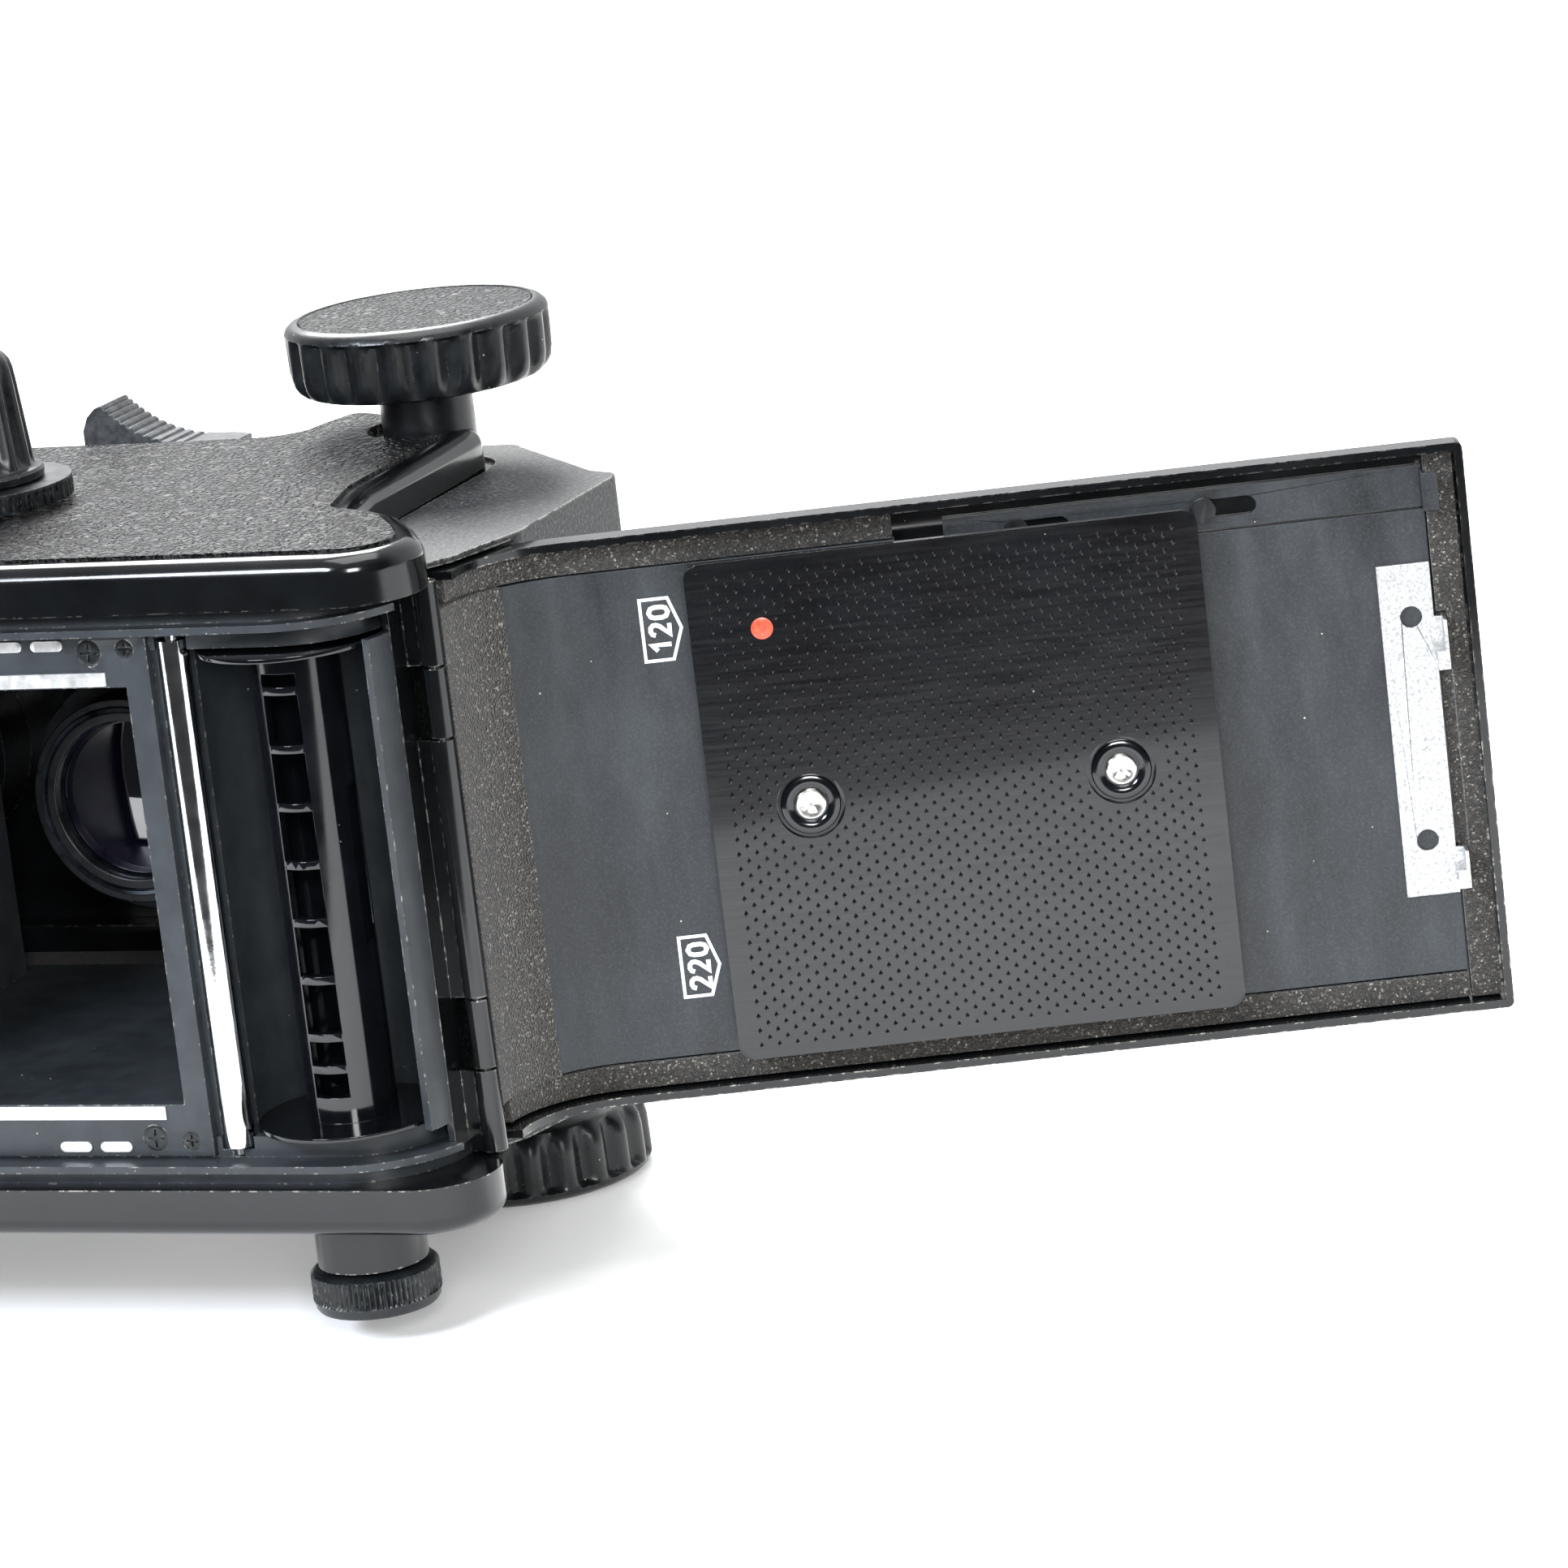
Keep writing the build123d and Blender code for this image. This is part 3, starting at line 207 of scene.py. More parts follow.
# Leatherette: embossed vinyl, rounded pebbles of about 1.2 mm with creases between, satin crests; painted
# shade in the creases and painted highlight on the crests.
leatherette, t, s, co = new_material("leatherette", **{"Specular IOR Level": 0.32})
WARP, PEBBLE = 0.9 * MM, 1.15 * MM
warp = add(t, "TexNoise", {"Scale": 1 / (2.2 * MM), "Detail": 2, "Vector": co}, "Color")
warp = add(t, "VectorMath", {0: warp, 1: (WARP, WARP, WARP)}, operation="MULTIPLY")
moved = add(t, "VectorMath", {0: co, 1: warp}, operation="ADD")
pebble = add(t, "TexVoronoi", {"Scale": 1 / PEBBLE, "Smoothness": 0.6, "Vector": moved}, "Distance",
             feature="SMOOTH_F1")
crease = add(t, "TexVoronoi", {"Scale": 1 / PEBBLE, "Vector": moved}, "Distance", feature="DISTANCE_TO_EDGE")
crest = add(t, "ValToRGB", {"Fac": crease}, "Color", [(0.0, 0.0), (0.32, 1.0)], "EASE")
broad = add(t, "TexNoise", {"Scale": 1 / (2.6 * MM), "Detail": 3, "Roughness": 0.55, "Vector": moved}, "Fac")
fine = add(t, "TexNoise", {"Scale": 1 / (0.25 * MM), "Detail": 3, "Roughness": 0.55, "Vector": co}, "Fac")
height = add(t, "Math", {0: crest, 1: 0.75}, operation="MULTIPLY")
for layer, share in ((broad, 0.5), (fine, 0.12)):
    part = add(t, "Math", {0: layer, 1: share}, operation="MULTIPLY")
    height = add(t, "Math", {0: height, 1: part}, operation="ADD")
# Painted shade and highlight: the colour darkens into the creases and lightens on the crests.
base = add(t, "ValToRGB", {"Fac": crease}, "Color", [(0.0, "#060607"), (0.1, "#101011"), (0.45, "#1e1e1f")])
feed(t, s, Base_Color=dusty(t, co, base, "#8f8a80", 2.4, 0.26, 0.3),
     Roughness=add(t, "ValToRGB", {"Fac": pebble}, "Color", [(0.1, 0.24), (0.7, 0.46)]),
     Normal=add(t, "Bump", {"Strength": 1.0, "Distance": 0.6 * MM, "Height": height}))
# Pressure plate: pressed steel in smooth gloss black, faintly brushed along the film's travel.
plate_enamel, t, s, co = new_material("plate_enamel", **{"Coat Weight": 0.35, "Coat Roughness": 0.05})
brushed = add(t, "Mapping", {"Scale": (0.05, 0.05, 1.0), "Vector": co})
base = mottle(t, co, 14, 3, [(0.3, "#08080a"), (0.7, "#111214")])
feed(t, s, Base_Color=dusty(t, co, base, "#b6b0a4", 3.8, 0.3, 0.35),
     Roughness=mottle(t, brushed, 0.5, 3, [(0.3, 0.14), (0.7, 0.24)]))
relief(t, s, brushed, 0.5, 3, 0.004)
# Blasted steel of the catch plate: bright, with a fine speckle.
blasted_steel, t, s, co = new_material("blasted_steel", Metallic=1.0)
feed(t, s, Base_Color=mottle(t, co, 0.4, 3, [(0.3, "#8e9092"), (0.5, "#c8c9ca"), (0.72, "#efefee")], 0.7),
     Roughness=mottle(t, co, 0.4, 3, [(0.3, 0.5), (0.7, 0.3)], 0.7))
relief(t, s, co, 0.4, 3, 0.03, 0.7)


def metal(name, dark, light, rough, size_mm=3.0, depth=0.004):
    """Bare or plated metal: two close tones, uneven polish and a fine relief."""
    m, t, s, co = new_material(name, Metallic=1.0)
    feed(t, s, Base_Color=mottle(t, co, size_mm, 5, [(0.3, dark), (0.7, light)], 0.6),
         Roughness=mottle(t, co, size_mm, 5, [(0.3, rough[0]), (0.7, rough[1])], 0.6))
    relief(t, s, co, size_mm / 6, 3, depth)
    return m


# Chromium plate on the rollers and pins: mirror bright.
chrome_plate = metal("chrome_plate", "#d6d8da", "#f4f5f6", (0.05, 0.12))
# Ground stainless steel of the film rails: bright and slightly soft.
ground_steel = metal("ground_steel", "#dcdcda", "#f6f6f4", (0.36, 0.5), 1.2)
# Black chromium on the rear lens rings: polished, so it catches one bright crescent.
chrome_rim = metal("chrome_rim", "#4d535b", "#7e868f", (0.12, 0.22), 4.0, 0.0)
# Nickel-plated slotted screws.
bright_screw = metal("bright_screw", "#cfcdc8", "#f2f1ee", (0.14, 0.28), 0.8)
# Machined steel of screws, pins and lugs.
machined_steel = metal("machined_steel", "#7d7c78", "#b8b7b2", (0.22, 0.4), 1.5)
# Grey sheet steel of the tab in the lower chamber.
grey_sheet = metal("grey_sheet", "#6d757c", "#8f979d", (0.3, 0.45), 2.0)
# Front-silvered mirror with a very slight haze.
silvering = metal("silvering", "#dfe2e4", "#f2f4f5", (0.02, 0.05), 12, 0.0)


def plastic(name, dark, light, rough, size_mm, depth, specks, coat, worn=None):
    """Moulded plastic: near-black, dusty, and paler on its edges where it is worn."""
    m, t, s, co = new_material(name, IOR=1.5, **{"Coat Weight": coat, "Coat Roughness": 0.06})
    base = mottle(t, co, size_mm, 4, [(0.3, dark), (0.7, light)], 0.6)
    if worn:
        base = blend_in(t, edge_mask(t, co, 0.3, 1.0, 0.5), base, worn)
    feed(t, s, Base_Color=dusty(t, co, base, "#a59f92", 2.2, 0.28, specks),
         Roughness=mottle(t, co, size_mm, 4, [(0.3, rough[0]), (0.7, rough[1])], 0.6))
    relief(t, s, co, 0.3, 3, depth)
    return m


# Polystyrene of the film spools: moulded, high gloss, blue-black.
spool_plastic = plastic("spool_plastic", "#06070a", "#0d0f13", (0.07, 0.16), 5, 0.003, 0.3, 0.3)
# Phenolic of the knobs: moulded, satin on the grips, paler on its worn edges.
knob_plastic = plastic("knob_plastic", "#0d0f10", "#1a1d1f", (0.24, 0.4), 3, 0.01, 0.55, 0.0, "#5d6262")


def plain(name, size_mm, detail, tones, shine, grain_mm, depth_mm, rough=0.55, **shader):
    """A finish with two close tones, and shine that changes with them where it is given."""
    m, t, s, co = new_material(name, **shader)
    feed(t, s, Base_Color=mottle(t, co, size_mm, detail, tones, rough))
    if shine:
        feed(t, s, Roughness=mottle(t, co, size_mm, detail, shine, rough))
    if grain_mm:
        relief(t, s, co, grain_mm[0], grain_mm[1], depth_mm, rough)
    return m


# Black anodised aluminium of lens barrels and rings: fine and slightly metallic.
anodised = plain("anodised", 2.0, 4, [(0.3, "#121315"), (0.7, "#1d1f22")], [(0.3, 0.26), (0.7, 0.38)],
                 (0.2, 2), 0.006, Metallic=0.35, **{"Specular IOR Level": 0.6})
# Anodised ribs of the release lever, rubbed pale grey on top by fingers.
rubbed_alloy = plain("rubbed_alloy", 1.6, 5, [(0.35, "#303234"), (0.7, "#5a5c5e")], [(0.3, 0.4), (0.7, 0.28)],
                     (1.6, 5), 0.01, 0.65, Metallic=0.4)
# Bellows: black leather-paper, dry, with a fine cross grain.
bellows_cloth = plain("bellows_cloth", 0.6, 4, [(0.3, "#0b0b0c"), (0.7, "#1c1c1d")], None, (0.6, 4), 0.08,
                      Roughness=0.7, **{"Sheen Weight": 0.2})
# Printing ink of the film marks, slightly uneven white.
white_ink = plain("white_ink", 0.3, 4, [(0.3, "#d9d9d4"), (0.6, "#f7f7f4")], None, None, 0, Roughness=0.5)
# Orange-red enamel of the film-type dot.
red_dot = plain("red_dot", 0.5, 4, [(0.3, "#e2402a"), (0.7, "#f4634a")], None, None, 0, Roughness=0.25)
# Ground glass of the focusing screen: fine etched surface.
ground_glass = plain("ground_glass", 0.2, 3, [(0.3, "#aeb4b4"), (0.7, "#cfd4d2")], [(0.3, 0.45), (0.7, 0.6)],
                     (0.2, 3), 0.01, IOR=1.5, **{"Transmission Weight": 0.6})
# Multi-coated optical glass before a closed shutter: black depths, a painted violet-blue reflection at the
# rim, hard cool reflections.
coated_glass, t, s, co = new_material("coated_glass", Roughness=0.03, IOR=1.7, **{
    "Coat Weight": 1.0, "Coat Roughness": 0.015, "Specular IOR Level": 0.8})
# Painted reflection: the base colour turns violet-blue where the glass faces away from the view.
rim = add(t, "LayerWeight", {"Blend": 0.35}, "Facing")
base = add(t, "ValToRGB", {"Fac": rim}, "Color",
           [(0.0, "#05060b"), (0.35, "#0d0c1c"), (0.7, "#23204a"), (1.0, "#3c4a78")])
feed(t, s, Base_Color=blend_in(t, mottle(t, co, 6, 3, [(0.45, 0.0), (0.8, 0.25)]), base, "#2a2238"))


# ------------------------------------------------------------------ CAD nodes that stay
def finish_node(node, material, edge_mm=0.2):
    """Dresses a CAD node: its own mesh, welded, with small broken edges and its material."""
    o = frame["nodes"][node]
    o.data.materials.clear()
    o.data.materials.append(material)
    if edge_mm:
        weld = o.modifiers.new("weld", "WELD")
        weld.merge_threshold = 0.002 * MM
        bev = o.modifiers.new("broken_edges", "BEVEL")
        bev.width = edge_mm * MM
        bev.segments = 2
        bev.limit_method = "ANGLE"
        bev.angle_limit = math.radians(38)
        bev.harden_normals = False
        bev.use_clamp_overlap = True
        wn = o.modifiers.new("normals", "WEIGHTED_NORMAL")
        wn.keep_sharp = False
        wn.weight = 60


DRESS = {
    "body_casting": (trap_paint, 0.15), "side_panel_right": (gloss_enamel, 0.2),
    "side_panel_left": (gloss_enamel, 0.2), "leatherette_right": (leatherette, 0.2),
    "leatherette_left": (leatherette, 0.2), "base_block": (crackle_enamel, 0.7),
    "tripod_bush": (machined_steel, 0.2), "film_gate": (trap_paint, 0.1),
    "film_rails": (ground_steel, 0.06), "gate_screws": (knob_plastic, 0.05),
    "chamber_spring": (spool_plastic, 0.0), "spring_roller": (chrome_plate, 0.1),
    "film_tab": (grey_sheet, 0.0), "hinge_leaf": (gloss_enamel, 0.1), "hinge_pin": (machined_steel, 0.1),
    "reflex_mirror": (silvering, 0.1), "mirror_holder": (trap_paint, 0.1),
    "focusing_screen": (ground_glass, 0.1), "finder_base": (gloss_enamel, 0.4),
    "strap_lugs": (machined_steel, 0.4), "accessory_shoe": (machined_steel, 0.2),
    "roller_lower": (chrome_plate, 0.1), "roller_upper": (chrome_plate, 0.1),
    "door_shell": (gloss_enamel, 0.15), "door_liner": (liner_paint, 0.1), "door_seals": (seal_foam, 0.15),
    "door_catch": (blasted_steel, 0.12), "door_hinge_leaf": (gloss_enamel, 0.1),
    "slide_rivets": (anodised, 0.1), "plate_carrier": (machined_steel, 0.1),
    "pressure_plate": (plate_enamel, 0.12), "lock_slide": (liner_paint, 0.08),
    "focus_shaft": (anodised, 0.15), "front_standard": (gloss_enamel, 0.25),
    "lens_board": (gloss_enamel, 0.4), "taking_barrel": (anodised, 0.2), "viewing_barrel": (anodised, 0.2),
    "knob_discs": (leatherette, 0.1), "aperture_ring": (anodised, 0.15),
    "cocking_lever": (machined_steel, 0.12), "supply_spool": (spool_plastic, 0.12),
    "takeup_spool": (spool_plastic, 0.12), "takeup_key": (machined_steel, 0.05),
    "release_pivot": (machined_steel, 0.1), "hood_lid": (gloss_enamel, 0.1),
    "hood_rear": (gloss_enamel, 0.1), "hood_left": (gloss_enamel, 0.1), "hood_right": (gloss_enamel, 0.1),
    "magnifier": (anodised, 0.15), "wind_dial": (knob_plastic, 0.05),
}
for node_name, (look, edge) in DRESS.items():
    finish_node(node_name, look, edge)

# ------------------------------------------------------------------ pieces made here
HINGE = at("back_door_hinge")
AXIS_U = -Vector(JOINT["lock_bar_slide"]["axis"])          # along the open door, away from the hinge
AXIS_N = Vector(JOINT["pressure_plate_turn"]["axis"])      # out of the plate, towards the film
PLATE_C = at("pressure_plate_turn")
Z = Vector((0, 0, 1))


def on_door(u, z, lift=0.0):
    """A point on the open door, in mm from the hinge, lifted off the plate's middle towards the film."""
    flat = HINGE + AXIS_N * (PLATE_C - HINGE).dot(AXIS_N)
    return flat + AXIS_U * u * MM + Z * z * MM + AXIS_N * lift * MM


def make(name, bm, look, body, instead=(), smooth=32):
    """Turns a bmesh into a piece that rides on a body and may stand for CAD nodes."""
    bmesh.ops.recalc_face_normals(bm, faces=bm.faces)
    me = bpy.data.meshes.new(name)
    bm.to_mesh(me)
    bm.free()
    o = bpy.data.objects.new(name, me)
    scene.collection.objects.link(o)
    me.materials.append(look)
    me.polygons.foreach_set("use_smooth", [True] * len(me.polygons))
    me.set_sharp_from_angle(angle=math.radians(smooth))
    if body:
        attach(o, body)
    if instead:
        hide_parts(*instead)
    return o


def turned(bm, base, axis, rings, count=96, lobes=0, power=1.0, closed=False):
    """A turned solid. Each ring is (height, radius, flute depth) in mm; radius 0 is a pole, and a closed
    profile makes a ring."""
    a = Vector(axis).normalized()
    u = a.orthogonal().normalized()
    v = a.cross(u)
    rows = []
    for h, r, d in rings:
        if r <= 0:
            rows.append([bm.verts.new(base + a * h * MM)])
            continue
        row = []
        for i in range(count):
            t = 2 * math.pi * i / count
            cut = d * (0.5 + 0.5 * math.cos(lobes * t)) ** power if d else 0.0
            row.append(bm.verts.new(base + a * h * MM + (u * math.cos(t) + v * math.sin(t)) * (r - cut) * MM))
        rows.append(row)
    pairs = list(zip(rows, rows[1:])) + ([(rows[-1], rows[0])] if closed else [])
    for lo, hi in pairs:
        for i in range(count):
            j = (i + 1) % count
            if len(lo) == 1:
                bm.faces.new((lo[0], hi[j], hi[i]))
            elif len(hi) == 1:
                bm.faces.new((lo[i], lo[j], hi[0]))
            else:
                bm.faces.new((lo[i], lo[j], hi[j], hi[i]))


def prism(bm, points, depth):
    """A closed slab: a flat outline of 3-D points pushed along a depth vector."""
    lo = [bm.verts.new(p) for p in points]
    hi = [bm.verts.new(Vector(p) + depth) for p in points]
    n = len(points)
    bm.faces.new(lo)
    bm.faces.new(hi[::-1])
    for i in range(n):
        bm.faces.new((lo[i], hi[i], hi[(i + 1) % n], lo[(i + 1) % n]))


def stroke(bm, points, width, lift, place, closed=False):
    """A flat printed line of a given width through 2-D points in mm, mitred at its corners."""
    n = len(points)
    pts = [Vector(p) for p in points]
    left, right_ = [], []
    for i, p in enumerate(pts):
        a = pts[i - 1] if i or closed else p - (pts[1] - p)
        b = pts[(i + 1) % n] if i < n - 1 or closed else p + (p - pts[i - 1])
        d0, d1 = (p - a).normalized(), (b - p).normalized()
        m = (Vector((-d0.y, d0.x)) + Vector((-d1.y, d1.x))).normalized()
        w = width / 2 / max(0.5, m.dot(Vector((-d0.y, d0.x))))
        left.append(p + m * w)
        right_.append(p - m * w)
    rows = []
    for l, r in zip(left, right_):
        rows.append([bm.verts.new(place(q.x, q.y, h)) for q in (l, r) for h in (0.0, lift)])
    links = list(zip(rows, rows[1:])) + ([(rows[-1], rows[0])] if closed else [])
    for a, b in links:
        for i, j in ((0, 1), (1, 3), (3, 2), (2, 0)):
            bm.faces.new((a[i], a[j], b[j], b[i]))
    if not closed:
        bm.faces.new((rows[0][0], rows[0][1], rows[0][3], rows[0][2]))
        bm.faces.new((rows[-1][0], rows[-1][2], rows[-1][3], rows[-1][1]))


def extent(node):
    """A CAD node's low corner, high corner and middle in metres, and its size in mm."""
    lo, hi = (Vector(c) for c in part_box(node))
    return lo, hi, (lo + hi) / 2, (hi - lo) / MM


# Focusing knobs: 22 scallops under a rounded lip, and a shallow dish for the covering disc.
for side, s in (("right", 1), ("left", -1)):
    lo, hi, mid, size = extent("focus_knob_" + side)
    r, h = max(size.x, size.y) / 2, size.z
    centre = at("focus_knobs")
    bm = bmesh.new()
    turned(bm, Vector((centre.x, centre.y, lo.z if s > 0 else hi.z)), (0, 0, s),
           [(0, 0, 0), (0, r - 2.4, 0), (0.3, r - 1.6, 0.1), (0.9, r - 0.9, 0.8), (1.8, r - 0.35, 1.35),
            (3.2, r - 0.1, 1.55), (7.0, r, 1.55), (7.9, r, 1.4), (8.35, r, 0.8), (8.6, r, 0.0),
            (9.2, r - 0.25, 0), (9.7, r - 0.8, 0), (h, r - 1.5, 0), (h, r - 1.9, 0),
            (h - 0.3, r - 2.15, 0), (h - 0.74, r - 2.2, 0), (h - 0.74, 0, 0)], count=220, lobes=22, power=1.4)
    make("focus_knob_%s_grip" % side, bm, knob_plastic, "focus_drive", ["focus_knob_" + side])

# Film wind knob: a tall fluted grip on a plain collar, tapering a little.
lo, hi, mid, size = extent("wind_knob")
axis_at = at("wind_turn")
bm = bmesh.new()
turned(bm, Vector((axis_at.x, axis_at.y, lo.z)), (0, 0, 1),
       [(0, 0, 0), (0, 3.0, 0), (10.25, 3.0, 0), (10.25, 9.0, 0), (10.5, 9.4, 0), (11.4, 9.5, 0),
        (11.8, 9.2, 0), (11.95, 8.6, 0), (12.1, 8.35, 0.1), (12.7, 8.3, 0.75), (14.0, 8.2, 1.15),
        (23.5, 7.35, 1.1), (25.2, 7.15, 0.8), (26.2, 6.85, 0.35), (27.1, 6.2, 0.0), (27.6, 5.3, 0),
        (size.z, 4.2, 0), (size.z, 0, 0)],
       count=168, lobes=14, power=1.3)
make("wind_grip", bm, knob_plastic, "film_wind", ["wind_knob"])

# Spool release knobs: a plunger with a straight-knurled band and a plain rounded foot.
for side in ("lower", "upper"):
    lo, hi, mid, size = extent("release_knob_" + side)
    h, r = size.z, size.x / 2
    bm = bmesh.new()
    turned(bm, Vector((mid.x, mid.y, hi.z)), (0, 0, -1),
           [(0, 0, 0), (0, 2.2, 0), (0.5, 2.7, 0), (h - 5.8, 2.7, 0), (h - 5.75, 7.7, 0),
            (h - 5.6, 8.1, 0), (h - 5.2, r, 0.1), (h - 4.9, r, 0.42), (h - 1.9, r, 0.42),
            (h - 1.6, r, 0.1), (h - 1.5, r - 0.15, 0), (h - 0.7, r - 0.25, 0), (h - 0.2, r - 0.6, 0),
            (h, r - 1.3, 0), (h, r - 4.0, 0), (h - 0.25, r - 4.4, 0), (h - 0.25, 0, 0)],
           count=288, lobes=72, power=0.9)
    make("release_plunger_" + side, bm, knob_plastic, side + "_spool_knob", ["release_knob_" + side])

# Shutter release: a hollowed thumb lever with cross ribs down its face.
lo, hi, mid, size = extent("release_lever")
bm = bmesh.new()
face = [(3.2, size.z - 0.1), (4.6, size.z - 1.3), (6.2, size.z - 2.6), (8.2, size.z - 3.9),
        (10.6, size.z - 5.0), (13.4, size.z - 5.8), (16.6, size.z - 6.2)]
outline = [(0.0, 2.4), (0.05, 7.4), (0.9, 9.3), (2.2, size.z - 0.6)]
for (x0, z0), (x1, z1) in zip(face, face[1:]):
    run = Vector((x1 - x0, z1 - z0))
    out = Vector((-run.y, run.x)).normalized() * 0.28
    for k, dip in ((0.0, -1), (0.16, 0), (0.36, 0), (0.5, -1), (0.66, 0), (0.86, 0)):
        p = Vector((x0, z0)) + run * k + out * dip
        outline.append((p.x, p.y))
outline += [(19.6, 4.9), (size.x, 4.6), (size.x, 0.0), (4.0, 0.0)]
prism(bm, [Vector((lo.x + x * MM, lo.y, lo.z + z * MM)) for x, z in outline], Vector((0, hi.y - lo.y, 0)))
lever = make("release_thumb_lever", bm, rubbed_alloy, "shutter_release", ["release_lever"],
             smooth=20)
bev = lever.modifiers.new("broken_edges", "BEVEL")
bev.width = 0.12 * MM
bev.segments = 2
bev.limit_method = "ANGLE"
bev.angle_limit = math.radians(60)

# Bellows: nine pleats of leather-paper between the body and the lens standard.
lo, hi, mid, size = extent("bellows")
PLEATS, RAD = 9, 3.2
bm = bmesh.new()


def bellows_loop(y, inset):
    """One rounded rectangle of the bellows at a depth, drawn in from the CAD box by an inset in mm."""
    x0, x1, z0, z1 = lo.x + inset * MM, hi.x - inset * MM, lo.z + inset * MM, hi.z - inset * MM
    row = []
    for cx, cz, start in ((x1, z1, 0), (x0, z1, 90), (x0, z0, 180), (x1, z0, 270)):
        for k in range(6):
            t = math.radians(start + 18 * k)
            px = cx - math.copysign(RAD * MM, cx - mid.x) + RAD * MM * math.cos(t)
            pz = cz - math.copysign(RAD * MM, cz - mid.z) + RAD * MM * math.sin(t)
            row.append(bm.verts.new((px, y, pz)))
    return row


ys = [lo.y + (hi.y - lo.y) * i / (2 * PLEATS) for i in range(2 * PLEATS + 1)]
rows = [bellows_loop(y, 0.15 if i % 2 == 0 else 2.3) for i, y in enumerate(ys)]
rows += [bellows_loop(y, 0.55 if i % 2 == 0 else 2.7) for i, y in reversed(list(enumerate(ys)))]
for a, b in zip(rows, rows[1:] + rows[:1]):
    for i in range(len(a)):
        j = (i + 1) % len(a)
        bm.faces.new((a[i], a[j], b[j], b[i]))
folds = make("bellows_pleats", bm, bellows_cloth, None, smooth=30)
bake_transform(folds)
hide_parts("bellows")

# Lens elements: domed glasses at the back and front of both barrels.
lo_t, hi_t, mid_t = extent("taking_barrel")[:3]
lo_v, hi_v, mid_v = extent("viewing_barrel")[:3]
bm = bmesh.new()
for centre, y, r, way in ((mid_t, lo_t.y + 1.0 * MM, 11.15, 1), (mid_t, hi_t.y - 6.4 * MM, 14.9, -1),
                          (mid_v, lo_v.y + 0.6 * MM, 11.9, 1), (mid_v, hi_v.y - 6.3 * MM, 14.9, -1)):
    dome = [(0.26 * 3.0 - 0.78 + 3.0 * (1 - math.sqrt(1 - (0.92 * k / 8) ** 2)) * 0.62, r * k / 8, 0)
            for k in range(9)]
    back_face = [(2.7, r, 0), (2.9, r * 0.9, 0), (2.9, 0, 0)]
    turned(bm, Vector((centre.x, y, centre.z)), (0, way, 0), dome + back_face, count=72)
make("lens_elements", bm, coated_glass, "lens_standard", ["lens_glass"], smooth=50)

# Retaining rings round the rear elements.
for name, centre, y, r in (("taking_rear_ring", mid_t, lo_t.y, 11.2),
                           ("viewing_rear_ring", mid_v, lo_v.y, 12.0)):
    bm = bmesh.new()
    turned(bm, Vector((centre.x, y, centre.z)), (0, 1, 0),
           [(-0.02, r + 2.2, 0), (-0.3, r + 2.0, 0), (-0.35, r + 1.5, 0), (0.0, r + 1.2, 0),
            (0.5, r + 0.7, 0), (1.9, r - 0.4, 0), (2.0, r + 0.6, 0), (0.3, r + 1.9, 0)],
           count=96, closed=True)
    make(name, bm, chrome_rim, "lens_standard", smooth=40)

# Pressure plate marks: rows of small punched lozenges, set half a step over in every other row.
half = 33.4              # half the plate's side, in mm
PITCH_U, PITCH_Z = 2.37, 1.0
STUD_CLEAR, DOT_CLEAR = 5.2, 2.05
u_mid = (PLATE_C - HINGE).dot(AXIS_U) / MM
studs_u = [u_mid - 20.35, u_mid + 20.35]
dot_u, dot_z = u_mid - 24.0, 24.1


def plain_spot(u, z):
    """Whether a place on the plate is left unpunched, round the studs and the dot."""
    if math.hypot(u - dot_u, z - dot_z) <= DOT_CLEAR:
        return True
    return any(math.hypot(u - su, z) <= STUD_CLEAR for su in studs_u)


bm = bmesh.new()
row = 0
z = -31.6
while z < 32.0:
    u = u_mid - half + 3.0 + (PITCH_U / 2 if row % 2 else 0.0)
    while u < u_mid + half - 2.6:
        if not plain_spot(u, z):
            corners = ((0.0, 0.54), (-0.33, 0.0), (0.0, -0.54), (0.33, 0.0))
            base = [on_door(u + a, z + b, 0.48) for a, b in corners]
            vs = [bm.verts.new(p) for p in base]
            tip = bm.verts.new(on_door(u, z - 0.12, 0.67))
            for i in range(4):
                bm.faces.new((vs[i], vs[(i + 1) % 4], tip))
            bm.faces.new(vs)
        u += PITCH_U
    z += PITCH_Z
    row += 1
make("plate_lozenges", bm, plate_enamel, "film_pressure_plate", smooth=10)

# Turned-over edges of the pressure plate.
bm = bmesh.new()
for side in (-1, 1):
    u = u_mid + side * (half - 1.7)
    stroke(bm, [(u, -32.2), (u, 32.2)], 0.28, 0.09, lambda a, b, h: on_door(a, b, 0.47 + h))
make("plate_edge_folds", bm, plate_enamel, "film_pressure_plate")

# Film-type dot.
bm = bmesh.new()
turned(bm, on_door(dot_u, dot_z, 0.45), AXIS_N,
       [(0, 0, 0), (0, 1.45, 0), (0.07, 1.43, 0), (0.13, 1.2, 0), (0.15, 0, 0)], count=40)
make("film_type_dot", bm, red_dot, "film_pressure_plate")

